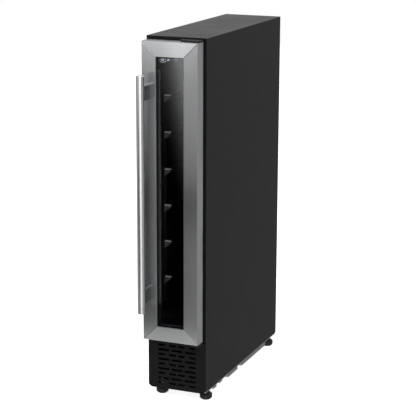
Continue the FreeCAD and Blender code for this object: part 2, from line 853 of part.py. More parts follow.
def refrigerant_pipes():
    side = condenser_half_width + pipe_end_gap
    cond_y = condenser_y + condenser_depth / 2
    under = evaporator_bottom - pipe_end_gap
    z = pipe_run_z
    suction = pipe([(pipe_x, suction_y, under), (pipe_x, suction_y, z),
                    (pipe_x, compressor_y + shell_reach(pipe_x), z)], pipe_radius, suction_bend)
    start_y = compressor_y - shell_reach(discharge_x)
    turn_y = start_y - discharge_lead
    discharge = pipe([(discharge_x, start_y, z), (discharge_x, turn_y, z),
                      (discharge_side_x, turn_y - discharge_slope, z), (discharge_side_x, cond_y, z),
                      (-side, cond_y, z)], pipe_radius, discharge_bend)
    liquid = pipe([(side, cond_y, drier_z), (drier_x, cond_y, drier_z),
                   (drier_x, drier_y - pipe_end_gap, drier_z)], pipe_radius, liquid_bend)
    drier_end = drier_y + drier_length + pipe_end_gap
    capillary = pipe([(drier_x, drier_end, drier_z), (drier_x, capillary_y, drier_z),
                      (pipe_x, capillary_y, drier_z), (pipe_x, capillary_y, under)],
                     capillary_radius, capillary_bend)
    return [suction, discharge, liquid, capillary]


def drip_tray():
    x = drip_tray_x
    y = (compressor_y - drip_tray_front, drain_y + drip_tray_back)
    z = (compressor_top, compressor_top + drip_tray_height)
    w = drip_tray_wall
    return block(x, y, z).cut(block((x[0] + w, x[1] - w), (y[0] + w, y[1] - w), (z[0] + w, z[1])))


def drain_tube():
    low = compressor_top + drip_tray_wall + drain_gap
    hose = tube(drain_radius, drain_bore, (drain_x, drain_y, low), liner_floor_z - low, ALONG_Z)
    rim = tube(drain_radius + drain_rim, drain_bore, (drain_x, drain_y, liner_floor_z), drain_rim_sheet, ALONG_Z)
    return hose.fuse(rim)


# Hinges

def bracket_plate(z):
    # A plate from under the cabinet's front edge out to a round tip over the pin.
    tip_y = pin_y - bracket_tip_radius
    outline = [(bracket_root, 1), (pin_x - bracket_shoulder, pin_y), (pin_x, tip_y), (bracket_edge, pin_y),
               (bracket_edge, 1)]
    plate = flat_prism(outline, z)
    plate = plate.fuse(rod(bracket_tip_radius, (pin_x, pin_y, z[0]), z[1] - z[0], ALONG_Z))
    plate = plate.fuse(block((bracket_root, bracket_edge), (0.5, bracket_tail), z)).removeSplitter()
    for x in hinge_screw_xs:
        hole = rod(hinge_screw_radius + screw_clearance, (x, hinge_screw_y, z[0] - 1), bracket_sheet + 2, ALONG_Z)
        plate = plate.cut(hole)
    return plate


def hinge_bracket_top():
    z = (bracket_top_z, bracket_top_z + bracket_sheet)
    return bracket_plate(z).fuse(rod(pin_radius, (pin_x, pin_y, z[0] - pin_length), pin_length + 1, ALONG_Z))


def hinge_bracket_bottom():
    z = (machine_room_top - bracket_sheet, machine_room_top)
    plate = bracket_plate(z)
    collar_top = door_bottom - bracket_collar
    plate = plate.fuse(rod(pin_radius + collar_wall, (pin_x, pin_y, z[1] - 1), collar_top - z[1] + 1, ALONG_Z))
    plate = plate.fuse(rod(pin_radius, (pin_x, pin_y, z[1]), door_bottom - z[1] + pin_length, ALONG_Z))
    return plate.fuse(rod(bracket_boss_radius, (pin_x, pin_y, z[0] - bracket_boss), bracket_boss + 1, ALONG_Z))


def hinge_bushes():
    bushes = []
    for low in (door_bottom, door_top - pin_length - 2):
        bushes.append(tube(pin_radius + bush_wall, pin_radius + pin_clearance, (pin_x, pin_y, low),
                           pin_length + 2, ALONG_Z))
    return bushes


def cabinet_screws():
    screws = []
    top = bracket_top_z + bracket_sheet
    under = machine_room_top - bracket_sheet
    r = hinge_screw_radius
    length = hinge_screw_length
    y = hinge_screw_y
    for x in hinge_screw_xs:
        head = rod(hinge_screw_head_radius, (x, y, top), hinge_screw_head, ALONG_Z)
        screws.append(head.fuse(rod(r, (x, y, top - length), length + 1, ALONG_Z)))
        head = rod(hinge_screw_head_radius, (x, y, under - hinge_screw_head), hinge_screw_head, ALONG_Z)
        screws.append(head.fuse(rod(r, (x, y, under - 1), length + 1, ALONG_Z)))
    for x, z, radius in frame_screw_spots():
        head = rod(radius, (x, -frame_screw_head, z), frame_screw_head, ALONG_Y)
        screws.append(head.fuse(rod(radius / 2, (x, -0.5, z), frame_screw_length, ALONG_Y)))
    return screws


# Door

def trim_ring():
    face_y = (door_front, door_front + trim_sheet)
    z_out = (door_bottom, door_top)
    z_in = (glass_bottom, glass_top)
    t = trim_sheet
    face = ring(door_half, trim_inner_half, face_y, z_out, z_in)
    wrap = ring(door_half, door_half - t, (door_front, door_front + trim_wrap), z_out,
                (door_bottom + t, door_top - t))
    lip = ring(trim_inner_half + t, trim_inner_half, (door_front, glass_front),
               (glass_bottom - t, glass_top + t), z_in)
    trim = face.fuse(wrap).fuse(lip).removeSplitter()
    front = edges_where(trim, lambda b: b.YMax < door_front + 0.1)
    outer = [e for e in front if on_outer_edge(e.BoundBox)]
    trim = trim.makeFillet(trim_roll, outer)
    inner = edges_where(trim, lambda b: b.YMax < door_front + 0.1 and on_inner_edge(b))
    trim = trim.makeFillet(trim_inner_roll, inner)
    bush = pin_radius + bush_wall + bush_clearance
    trim = trim.cut(rod(bush, (pin_x, pin_y, door_bottom - 1), door_top - door_bottom + 2, ALONG_Z))
    for z in post_zs:
        trim = trim.cut(rod(screw_radius + screw_clearance, (handle_x, door_front - 1, z), 5, ALONG_Y))
    return trim


def on_outer_edge(b):
    on_side = b.XLength < 0.1 and abs(abs(b.XMin) - door_half) < 0.1
    on_end = b.ZLength < 0.1 and min(abs(b.ZMin - door_bottom), abs(b.ZMin - door_top)) < 0.1
    return on_side or on_end


def on_inner_edge(b):
    on_side = b.XLength < 0.1 and abs(abs(b.XMin) - trim_inner_half) < 0.1
    on_end = b.ZLength < 0.1 and min(abs(b.ZMin - glass_bottom), abs(b.ZMin - glass_top)) < 0.1
    return on_side or on_end


def mitre_grooves():
    # A shallow V along each 45 degree mitre, cut into the door's front face.
    grooves = []
    length = trim_width * math.sqrt(2) + 8
    w = mitre_groove
    points = [Vec(-w, 0, 0), Vec(w, 0, 0), Vec(0, mitre_groove_depth, 0), Vec(-w, 0, 0)]
    for side in (-1, 1):
        for corner_z, upward in ((door_top, -1), (door_bottom, 1)):
            groove = Part.Face(Part.makePolygon(points)).extrude(Vec(0, 0, length))
            groove.translate(Vec(0, 0, -4))
            groove.rotate(Vec(0, 0, 0), ALONG_Y, -side * (45 if upward > 0 else 135))
            groove.translate(Vec(side * door_half, door_front, corner_z))
            grooves.append(groove)
    return grooves


def mitred_trims():
    # Cuts the trim ring into two stiles and two rails that meet on 45 degree mitres.
    trim = trim_ring()
    for groove in mitre_grooves():
        trim = trim.cut(groove)
    x = door_half + 1
    g = mitre_gap
    w = trim_width + 1
    low = door_bottom - 1
    high = door_top + 1
    ys = (door_front - 1, door_front + trim_wrap + 1)
    stile = [(x, low + g), (x, high - g), (x - w, high - w - g), (x - w, low + w + g)]
    rail = [(-x + g, high), (x - g, high), (x - w - g, high - w), (-x + w + g, high - w)]
    foot_rail = [(px, low + high - pz) for px, pz in rail]
    return {"door_stile_right": trim.common(upright_prism(stile, ys)),
            "door_stile_left": trim.common(upright_prism([(-px, pz) for px, pz in stile], ys)),
            "door_rail_top": trim.common(upright_prism(rail, ys)),
            "door_rail_bottom": trim.common(upright_prism(foot_rail, ys))}


def door_frame():
    t = trim_sheet
    split = door_front + trim_wrap
    front = block((-door_half + t, door_half - t), (door_front + t, split), (door_bottom + t, door_top - t))
    s = door_frame_step
    rear = block((-door_half + s, door_half - s), (split + door_frame_gap, door_back), (door_bottom + s, door_top - s))
    joint = block((-door_half + t, door_half - t), (split - 1, split + 1), (door_bottom + t, door_top - t))
    frame = front.fuse(joint).fuse(rear)
    pocket_half = pane_half + glass_clearance
    grow = pocket_half - trim_inner_half
    glass_back = glass_front + 2 * glass_thickness + glass_space
    frame = frame.cut(block((-pocket_half, pocket_half), (door_front, glass_back),
                            (glass_bottom - grow, glass_top + grow)))
    view = trim_inner_half + retainer_width
    frame = frame.cut(block((-view, view), (glass_back - 1, door_back + 1),
                            (glass_bottom - retainer_width, glass_top + retainer_width)))
    bush = pin_radius + bush_wall + bush_clearance
    for low in (door_bottom - 1, door_top - pin_length - 2):
        frame = frame.cut(rod(bush, (pin_x, pin_y, low), pin_length + 3, ALONG_Z))
    for z in post_zs:
        frame = frame.cut(rod(screw_radius + screw_clearance, (handle_x, door_front, z), door_thickness, ALONG_Y))
        sink = screw_head + screw_sink + screw_clearance
        frame = frame.cut(rod(screw_head_radius + screw_clearance, (handle_x, door_back - sink, z), sink + 1, ALONG_Y))
    return frame


def pane(front):
    return block((-pane_half, pane_half), (front, front + glass_thickness),
                 (glass_bottom - glass_overlap, glass_top + glass_overlap))


def glass_spacer():
    show = trim_inner_half - spacer_show
    outside = show + spacer_width
    low = glass_bottom + spacer_show
    high = glass_top - spacer_show
    front = glass_front + glass_thickness
    return ring(outside, show, (front, front + glass_space),
                (low - spacer_width, high + spacer_width), (low, high))


def door_gasket():
    outer = door_half - gasket_inset
    inner = outer - gasket_width
    low = door_bottom + gasket_inset
    high = door_top - gasket_inset
    gasket = None
    for start, end, inset in gasket_layers:
        band = ring(outer - inset, inner + inset, (door_back + start, door_back + end),
                    (low + inset, high - inset), (low + gasket_width - inset, high - gasket_width + inset))
        gasket = band if gasket is None else gasket.fuse(band)
    return gasket


# Handle

def handle_tube():
    length = handle_top - handle_bottom
    plain = (handle_x, handle_y, handle_bottom + cap_thickness)
    body = tube(handle_radius, handle_radius - handle_wall, plain, length - 2 * cap_thickness, ALONG_Z)
    solids = [body]
    for low, rounded in ((handle_bottom, "low"), (handle_top - cap_thickness, "high")):
        cap = rod(handle_radius, (handle_x, handle_y, low), cap_thickness, ALONG_Z)
        edge_z = low if rounded == "low" else low + cap_thickness
        cap = cap.makeFillet(cap_radius, edges_where(cap, lambda b: abs(b.ZMin - edge_z) < 0.1 and b.ZLength < 0.1))
        solids.append(cap)
    return solids


def handle_posts():
    posts = []
    for z in post_zs:
        post = block((handle_x - post_width / 2, handle_x + post_width / 2), (handle_y, door_front),
                     (z - post_height / 2, z + post_height / 2))
        corners = edges_where(post, lambda b: b.YLength > 10)
        post = post.makeFillet(post_corner, corners)
        seat = rod(handle_radius + post_clearance, (handle_x, handle_y, z - post_height), 2 * post_height, ALONG_Z)
        bore_start = door_front - screw_bite - 2
        bore = rod(screw_radius + post_clearance, (handle_x, bore_start, z), screw_bite + 4, ALONG_Y)
        posts.append(post.cut(seat).cut(bore))
    return posts


def handle_screws():
    screws = []
    for z in post_zs:
        head_y = door_back - screw_head - screw_sink
        head = rod(screw_head_radius, (handle_x, head_y, z), screw_head, ALONG_Y)
        start = door_front - screw_bite
        shank = rod(screw_radius, (handle_x, start, z), head_y - start + 1, ALONG_Y)
        screws.append(head.fuse(shank))
    return screws


def main():
    os.makedirs("parts", exist_ok=True)
    save("side_panel_left", side_panel(-1))
    save("side_panel_right", side_panel(1))
    save("top_panel", top_panel())
    save("back_panel", back_panel())
    save("front_frame", front_frame())
    save("insulation_foam", insulation_foam())
    save("inner_liner", inner_liner())
    save("compartment_floor", compartment_floor())
    save("shelf_ledges", *shelf_ledges())
    for number, z in enumerate(ledge_zs, start=1):
        save("shelf_" + str(number), shelf(z))
    save("control_housing", control_housing())
    save("control_fascia", control_fascia())
    save("display_module", display_module())
    save("touch_keys", *touch_keys())
    save("light_strip", light_strip())
    save("evaporator_cover", evaporator_cover())
    save("evaporator", evaporator())
    save("circulation_fan_motor", circulation_fan_motor())
    save("circulation_fan", circulation_fan())
    save("temperature_sensor", temperature_sensor())
    save("base_tray", base_tray())
    names = ("foot_front_left", "foot_front_right", "foot_rear_left", "foot_rear_right")
    for name, spot in zip(names, foot_spots()):
        save(name, foot(spot))
    save("kick_plate", kick_plate())
    save("rear_cover", rear_cover())
    save("cord_gland", cord_gland())
    save("compressor", compressor())
    save("compressor_mounts", *compressor_mounts())
    save("terminal_cover", terminal_cover())
    save("condenser", condenser())
    save("condenser_shroud", condenser_shroud())
    save("condenser_fan_motor", condenser_fan_motor())
    save("condenser_fan", condenser_fan())
    save("filter_drier", filter_drier())
    save("refrigerant_pipes", *refrigerant_pipes())
    save("drip_tray", drip_tray())
    save("drain_tube", drain_tube())
    save("hinge_bracket_top", hinge_bracket_top())
    save("hinge_bracket_bottom", hinge_bracket_bottom())
    save("cabinet_screws", *cabinet_screws())
    for node, solid in mitred_trims().items():
        save(node, solid)
    save("door_frame", door_frame())
    save("glass_outer", pane(glass_front))
    save("glass_inner", pane(glass_front + glass_thickness + glass_space))
    save("glass_spacer", glass_spacer())
    save("door_gasket", door_gasket())
    save("hinge_bushes", *hinge_bushes())
    save("handle_tube", *handle_tube())
    save("handle_posts", *handle_posts())
    save("handle_screws", *handle_screws())


main()
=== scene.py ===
import json
import math

import bmesh
import bpy
from mathutils import Matrix, Vector


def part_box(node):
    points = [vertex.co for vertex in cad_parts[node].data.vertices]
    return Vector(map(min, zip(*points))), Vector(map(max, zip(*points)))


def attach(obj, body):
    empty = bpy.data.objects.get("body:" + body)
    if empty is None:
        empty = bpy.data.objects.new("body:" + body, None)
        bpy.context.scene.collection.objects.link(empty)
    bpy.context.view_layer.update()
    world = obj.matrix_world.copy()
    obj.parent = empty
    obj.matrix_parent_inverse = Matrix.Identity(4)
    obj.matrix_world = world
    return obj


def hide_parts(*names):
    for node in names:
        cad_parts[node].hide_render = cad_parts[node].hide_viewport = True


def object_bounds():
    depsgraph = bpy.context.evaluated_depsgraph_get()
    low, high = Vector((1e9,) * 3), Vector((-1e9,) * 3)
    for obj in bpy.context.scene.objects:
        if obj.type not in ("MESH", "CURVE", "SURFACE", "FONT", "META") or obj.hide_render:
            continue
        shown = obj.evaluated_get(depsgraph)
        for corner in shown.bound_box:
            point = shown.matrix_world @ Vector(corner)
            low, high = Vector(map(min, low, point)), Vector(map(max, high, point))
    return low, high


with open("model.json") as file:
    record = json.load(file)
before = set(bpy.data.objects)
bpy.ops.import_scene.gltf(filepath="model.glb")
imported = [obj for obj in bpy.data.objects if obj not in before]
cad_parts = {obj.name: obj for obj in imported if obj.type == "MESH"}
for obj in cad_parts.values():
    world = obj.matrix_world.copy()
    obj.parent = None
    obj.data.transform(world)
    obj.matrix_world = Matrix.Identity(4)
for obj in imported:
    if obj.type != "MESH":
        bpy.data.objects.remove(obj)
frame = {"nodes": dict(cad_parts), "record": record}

cadLow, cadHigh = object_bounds()
nodes = frame["nodes"]
mm = 0.001
print("frame loaded:", len(nodes), "nodes")


def linearColour(hexCode):
    # sRGB hex to the linear colour that a shader socket takes
    parts = [int(hexCode[i:i + 2], 16) / 255 for i in (0, 2, 4)]
    return tuple(p / 12.92 if p <= 0.04045 else ((p + 0.055) / 1.055) ** 2.4 for p in parts) + (1.0,)


def addNode(tree, kind, values=None, links=None, stops=(), **settings):
    # values and links go by socket, settings by the node's own property names
    # stops, for a colour ramp: (position, sRGB hex or plain brightness) in rising order
    node = tree.nodes.new("ShaderNode" + kind)
    for name, value in settings.items():
        setattr(node, name, value)
    for socket, value in (values or {}).items():
        node.inputs[socket].default_value = value
    for socket, source in (links or {}).items():
        tree.links.new(source, node.inputs[socket])
    for index, (position, colour) in enumerate(stops):
        elements = node.color_ramp.elements
        element = elements[index] if index < len(elements) else elements.new(1.0)
        element.position = position
        element.color = linearColour(colour) if isinstance(colour, str) else (colour, colour, colour, 1)
    return node


def emptyTree(owner):
    owner.use_nodes = True
    owner.node_tree.nodes.clear()
    return owner.node_tree


def addObject(name, data):
    added = bpy.data.objects.new(name, data)
    bpy.context.scene.collection.objects.link(added)
    return added


def startMaterial(name, shaderValues):
    material = bpy.data.materials.new(name)
    tree = emptyTree(material)
    shader = addNode(tree, "BsdfPrincipled", values=shaderValues)
    addNode(tree, "OutputMaterial", links={"Surface": shader.outputs["BSDF"]})
    place = addNode(tree, "TexCoord").outputs["Object"]
    return material, tree, shader, place


def feed(tree, source, shader, socket):
    tree.links.new(source, shader.inputs[socket])


def dress(material, *names):
    for name in names:
        mesh = nodes[name].data
        mesh.materials.clear()
        mesh.materials.append(material)


def texturedMaterial(name, look):
    # A moulded, cast, painted or rubber surface: two colours mixed by a slow noise, a roughness that
    # wanders with it, and a fine bump whose size is the real grain of the surface.
    material, tree, shader, place = startMaterial(name, {
        "Metallic": look.get("metallic", 0.0), "IOR": look.get("ior", 1.5),
        "Specular IOR Level": look.get("specular", 0.5), "Coat Weight": look.get("coat", 0.0),
        "Coat Roughness": look.get("coatRoughness", 0.1)})
    clouds = addNode(tree, "TexNoise", values={"Scale": 1 / look["cloudSize"], "Detail": 4.0},
                     links={"Vector": place}).outputs["Fac"]
    colour = addNode(tree, "ValToRGB", links={"Fac": clouds},
                     stops=[(0.35, look["dark"]), (0.65, look["light"])]).outputs["Color"]
    feed(tree, colour, shader, "Base Color")
    low, high = look["roughness"]
    rough = addNode(tree, "MapRange", links={"Value": clouds},
                    values={"From Min": 0.3, "From Max": 0.7, "To Min": low, "To Max": high})
    feed(tree, rough.outputs["Result"], shader, "Roughness")
    grain = addNode(tree, "TexNoise", values={"Scale": 1 / look["grainSize"], "Detail": 3.0},
                    links={"Vector": place})
    bump = addNode(tree, "Bump", links={"Height": grain.outputs["Fac"]},
                   values={"Strength": look.get("bump", 0.2), "Distance": look.get("bumpDepth", 0.0001)})
    feed(tree, bump.outputs["Normal"], shader, "Normal")
    return material


# sizes in metres: cloudSize is the slow change of colour, grainSize the texture you could feel
texturedLooks = {
    # powder-coated steel sheet: a satin film with orange peel about 1 mm across
    "powderCoatedSteel": {"dark": "121213", "light": "171718", "cloudSize": 0.09, "roughness": (0.4, 0.48),
                          "grainSize": 0.0011, "bump": 0.12, "specular": 0.1},
    # the same film on the top, which is smoother because it lay flat in the oven
    "powderCoatedTop": {"dark": "121213", "light": "171718", "cloudSize": 0.09, "roughness": (0.34, 0.42),
                        "grainSize": 0.0011, "bump": 0.1, "specular": 0.3},
    # moulded ABS, matt black, spark-eroded grain
    "blackAbs": {"dark": "0a0a0a", "light": "0e0e0e", "cloudSize": 0.05, "roughness": (0.45, 0.58),
                 "grainSize": 0.0008, "bump": 0.2, "specular": 0.12},
    # moulded polypropylene of the feet and the drip tray, a touch greyer where dust sits in the grain
    "footPolypropylene": {"dark": "101010", "light": "1b1b1b", "cloudSize": 0.02, "roughness": (0.5, 0.65),
                          "grainSize": 0.0008, "bump": 0.25, "specular": 0.35},
    # high-impact polystyrene, vacuum-formed: softer sheen than the ABS
    "linerPolystyrene": {"dark": "090909", "light": "0e0e0e", "cloudSize": 0.06, "roughness": (0.5, 0.62),
                         "grainSize": 0.0012, "bump": 0.15, "specular": 0.2},
    # rigid polyurethane foam: fine open cells, straw yellow
    "polyurethaneFoam": {"dark": "c9b37c", "light": "dccb98", "cloudSize": 0.03, "roughness": (0.85, 0.95),
                         "grainSize": 0.0015, "bump": 0.8, "bumpDepth": 0.0004},
    # silver-painted ABS on the back half of the door: metal flake in clear lacquer
    "silverPaintedAbs": {"dark": "a3a5a8", "light": "b1b3b6", "cloudSize": 0.08, "roughness": (0.32, 0.4),
                         "grainSize": 0.0009, "bump": 0.1, "metallic": 0.8},
    # gloss enamel over a drawn steel shell
    "compressorEnamel": {"dark": "0d0d0e", "light": "151517", "cloudSize": 0.03, "roughness": (0.22, 0.32),
                         "grainSize": 0.002, "bump": 0.2, "coat": 0.4},
    # nitrile rubber, matt and slightly dusty
    "nitrileRubber": {"dark": "141414", "light": "1f1f1e", "cloudSize": 0.012, "roughness": (0.75, 0.88),
                      "grainSize": 0.0006, "bump": 0.3},
    # soft vinyl of the magnetic gasket
    "softVinyl": {"dark": "0c0c0c", "light": "121212", "cloudSize": 0.02, "roughness": (0.55, 0.68),
                  "grainSize": 0.0007, "bump": 0.15, "specular": 0.3},
    # natural acetal, waxy off-white
    "acetal": {"dark": "d8d6cd", "light": "e5e3da", "cloudSize": 0.008, "roughness": (0.35, 0.45),
               "grainSize": 0.0006, "bump": 0.1},
    # glass-filled nylon of the fans: slight streaks of fibre at the surface
    "filledNylon": {"dark": "1b1b1c", "light": "262627", "cloudSize": 0.02, "roughness": (0.45, 0.58),
                    "grainSize": 0.0008, "bump": 0.2},
    # grey PVC hose
    "pvcHose": {"dark": "8a8b8c", "light": "9c9d9e", "cloudSize": 0.01, "roughness": (0.4, 0.5),
                "grainSize": 0.0008, "bump": 0.1},
    # opal polycarbonate light cover
    "opalPolycarbonate": {"dark": "d9dad6", "light": "ebece8", "cloudSize": 0.02, "roughness": (0.3, 0.4),
                          "grainSize": 0.0007, "bump": 0.05},
    # gloss black acrylic of the control panel
    "blackAcrylic": {"dark": "070708", "light": "0b0b0d", "cloudSize": 0.03, "roughness": (0.06, 0.12),
                     "grainSize": 0.002, "bump": 0.03},
    # green solder mask over the circuit board
    "solderMask": {"dark": "123524", "light": "1c4a33", "cloudSize": 0.006, "roughness": (0.25, 0.4),
                   "grainSize": 0.001, "bump": 0.15},
    # black chemically coated hinge plate, 3 mm steel
    "coatedHingeSteel": {"dark": "111112", "light": "1a1a1c", "cloudSize": 0.015, "roughness": (0.4, 0.52),
                         "grainSize": 0.001, "bump": 0.2, "specular": 0.2},
    # deoxidised copper tube: brown tarnish over bright copper
    "copperTube": {"dark": "8a4a2c", "light": "c47a50", "cloudSize": 0.012, "roughness": (0.25, 0.42),
                   "grainSize": 0.001, "bump": 0.15, "metallic": 1.0},
    # bright zinc plating on the screws
    "zincPlate": {"dark": "8b8d90", "light": "a9abae", "cloudSize": 0.004, "roughness": (0.3, 0.42),
                  "grainSize": 0.0005, "bump": 0.15, "metallic": 1.0},
    # black passivated zinc of the screws in the black front
    "blackZinc": {"dark": "1f1f21", "light": "2c2c2e", "cloudSize": 0.004, "roughness": (0.35, 0.48),
                  "grainSize": 0.0005, "bump": 0.15, "metallic": 1.0},
    # rolled aluminium fin stock
    "finAluminium": {"dark": "a2a4a6", "light": "c2c4c6", "cloudSize": 0.02, "roughness": (0.3, 0.45),
                     "grainSize": 0.0012, "bump": 0.15, "metallic": 1.0},
    # black stove enamel, thin enough to keep the fins' edges
    "condenserEnamel": {"dark": "080808", "light": "0d0d0d", "cloudSize": 0.02, "roughness": (0.4, 0.5),
                        "grainSize": 0.001, "bump": 0.15, "specular": 0.3},
    # motor can, black e-coat
    "motorCoat": {"dark": "1c1c1e", "light": "2a2a2c", "cloudSize": 0.01, "roughness": (0.35, 0.5),
                  "grainSize": 0.0009, "bump": 0.15},
}

stainlessLook = {
    "dark": "bcbdbe", "light": "c6c7c8", "anisotropy": 0.8, "roughness": (0.27, 0.3),
    "scratchLength": 0.12, "scratchWidth": 0.0008,   # real scratches are 0.1 mm wide; drawn coarser to show
    "bump": 0.03, "bumpDepth": 0.00005,
    # the groove colour is painted shade on the slanting walls of the mitre grooves
    "grooveShade": "6c6d6e", "slantFrom": 0.04,          # a wall slants where X times Z of its normal is more
}
# the posts are drawn darker than the trims: painted shade for the dark surroundings they reflect
postShadeLook = {**stainlessLook, "dark": "77787a", "light": "858687", "roughness": (0.24, 0.28)}
# the bar is finished in a lathe, so its scratches run round it and its highlight is a line along it; its tone,
# lighter than the trims', is painted highlight
brightenedBarLook = {
    **stainlessLook, "dark": "cfd0d1", "light": "d9dadb", "anisotropy": 0.9, "roughness": (0.28, 0.33),
    "scratchLength": 0.0008, "bump": 0.02, "turned": 0.25, "grooveShade": "cfd0d1",
}


def brushedStainless(name, grainAxis, look):
    # 304 stainless with a satin brushed finish: fine scratches run along the grain, so it blurs
    # reflections across the grain and keeps them fairly crisp along it.
    material, tree, shader, place = startMaterial(name, {
        "Metallic": 1.0, "Anisotropic": look["anisotropy"], "Anisotropic Rotation": look.get("turned", 0.0)})
    along = 1 / look["scratchLength"]
    across = 1 / look["scratchWidth"]
    stretch = tuple(along if axis == grainAxis else across for axis in "XYZ")
    stretched = addNode(tree, "Mapping", values={"Scale": stretch}, links={"Vector": place})
    scratches = addNode(tree, "TexNoise", values={"Scale": 1.0, "Detail": 5.0, "Roughness": 0.6},
                        links={"Vector": stretched.outputs["Vector"]}).outputs["Fac"]
    colour = addNode(tree, "ValToRGB", links={"Fac": scratches},
                     stops=[(0.25, look["dark"]), (0.75, look["light"])]).outputs["Color"]
    # the slanting walls of the mitre grooves get a darker colour: painted shade that tones down the highlights they
    # catch
    facing = addNode(tree, "SeparateXYZ", links={"Vector": addNode(tree, "TexCoord").outputs["Normal"]})
    slant = addNode(tree, "Math", operation="MULTIPLY", links={0: facing.outputs["X"], 1: facing.outputs["Z"]})
    slant = addNode(tree, "Math", operation="ABSOLUTE", links={0: slant.outputs["Value"]})
    shadedGroove = addNode(tree, "Math", operation="GREATER_THAN",
                      values={1: look["slantFrom"]}, links={0: slant.outputs["Value"]})
    # of a Mix node, inputs 6 and 7 and output 2 are the colours
    both = addNode(tree, "Mix", data_type="RGBA",
                   values={7: linearColour(look["grooveShade"])}, links={0: shadedGroove.outputs["Value"], 6: colour})
    feed(tree, both.outputs[2], shader, "Base Color")
    low, high = look["roughness"]
    rough = addNode(tree, "MapRange", links={"Value": scratches},
                    values={"From Min": 0.25, "From Max": 0.75, "To Min": low, "To Max": high})
    feed(tree, rough.outputs["Result"], shader, "Roughness")
    bump = addNode(tree, "Bump", links={"Height": scratches},
                   values={"Strength": look["bump"], "Distance": look["bumpDepth"]})
    feed(tree, bump.outputs["Normal"], shader, "Normal")
    tangent = addNode(tree, "Tangent", direction_type="RADIAL", axis=grainAxis)
    feed(tree, tangent.outputs["Tangent"], shader, "Tangent")
    return material


galvanisedLook = {"crystalSize": 0.008, "dark": "84888b", "light": "a9adb0", "roughness": (0.34, 0.5)}


def galvanisedSteel(look):
    # Hot-dipped zinc: crystals about 8 mm across, each with its own grey and its own gloss.
    material, tree, shader, place = startMaterial("galvanisedSteel", {"Metallic": 1.0})
    crystals = addNode(tree, "TexVoronoi", values={"Scale": 1 / look["crystalSize"]}, links={"Vector": place})
    grey = addNode(tree, "RGBToBW", links={"Color": crystals.outputs["Color"]}).outputs["Val"]
    colour = addNode(tree, "ValToRGB", links={"Fac": grey},
                     stops=[(0.2, look["dark"]), (0.8, look["light"])]).outputs["Color"]
    feed(tree, colour, shader, "Base Color")
    low, high = look["roughness"]
    rough = addNode(tree, "MapRange", values={"To Min": low, "To Max": high}, links={"Value": grey})
    feed(tree, rough.outputs["Result"], shader, "Roughness")
    return material


glassLooks = {
    # grey body-tinted float, a dark mirror from outside, and a clear pane behind it
    "smokedGlass": {"dark": "a4a5a8", "light": "a9aaad", "ior": 1.52},
    "clearGlass": {"dark": "e3e8e6", "light": "e8ecea", "ior": 1.52},
}


# the faint roller waves that tempering leaves, about 120 mm apart
glassWaves = {"length": 0.12, "bump": 0.03, "depth": 0.0002}


def temperedGlass(name, look):
    material, tree, shader, place = startMaterial(name, {
        "Transmission Weight": 1.0, "IOR": look["ior"], "Roughness": 0.0})
    waves = addNode(tree, "TexNoise", values={"Scale": 1 / glassWaves["length"], "Detail": 1.0},
                    links={"Vector": place}).outputs["Fac"]
    colour = addNode(tree, "ValToRGB", links={"Fac": waves},
                     stops=[(0.3, look["dark"]), (0.7, look["light"])]).outputs["Color"]
    feed(tree, colour, shader, "Base Color")
    bump = addNode(tree, "Bump", links={"Height": waves},
                   values={"Strength": glassWaves["bump"], "Distance": glassWaves["depth"]})
    feed(tree, bump.outputs["Normal"], shader, "Normal")
    return material


# holeRadius is a part of holePitch, and holeEdge the part of that radius where the edge starts
spacerLook = {"metal": "30313a", "hole": "131418", "butyl": "050505", "holePitch": 0.004, "holeRadius": 0.15,
              "holeEdge": 0.8, "roughness": (0.38, 0.8)}


def spacerBar(look):
    # Anodised aluminium bar with 1.2 mm breather holes every 4 mm, and black butyl where it meets the glass.
    material, tree, shader, place = startMaterial("anodisedSpacer", {"Specular IOR Level": 0.4})
    holes = addNode(tree, "TexVoronoi", values={"Scale": 1 / look["holePitch"], "Randomness": 0.0},
                    links={"Vector": place})
    radius = look["holeRadius"]
    # the breather holes are drawn as dark dots: painted shade inside the holes
    bar = addNode(tree, "ValToRGB", links={"Fac": holes.outputs["Distance"]},
                  stops=[(radius * look["holeEdge"], look["hole"]), (radius, look["metal"])])
    normal = addNode(tree, "SeparateXYZ", links={"Vector": addNode(tree, "TexCoord").outputs["Normal"]})
    towardsGlass = addNode(tree, "Math", operation="ABSOLUTE", links={0: normal.outputs["Y"]})
    bare = addNode(tree, "ValToRGB", links={"Fac": towardsGlass.outputs["Value"]},
                   stops=[(0.45, "ffffff"), (0.55, look["butyl"])])
    both = addNode(tree, "VectorMath", operation="MULTIPLY",
                   links={0: bar.outputs["Color"], 1: bare.outputs["Color"]})
    feed(tree, both.outputs["Vector"], shader, "Base Color")
    low, high = look["roughness"]
    rough = addNode(tree, "MapRange", values={"To Min": low, "To Max": high},
                    links={"Value": towardsGlass.outputs["Value"]})
    feed(tree, rough.outputs["Result"], shader, "Roughness")
    return material


# endLength is how far the pale front end runs back; endFrom is where it starts, off the middle
shelfLook = {"coat": "0f0f10", "end": "e8e3d6", "endFrom": 0.0235, "endLength": 0.003, "grainSize": 0.0009,
             "roughness": (0.35, 0.55), "bump": 0.15, "bumpDepth": 0.0001}
ledgeLook = {**shelfLook, "coat": "0f0f0f", "end": "75716a", "endFrom": 0.0, "endLength": 0.0006}


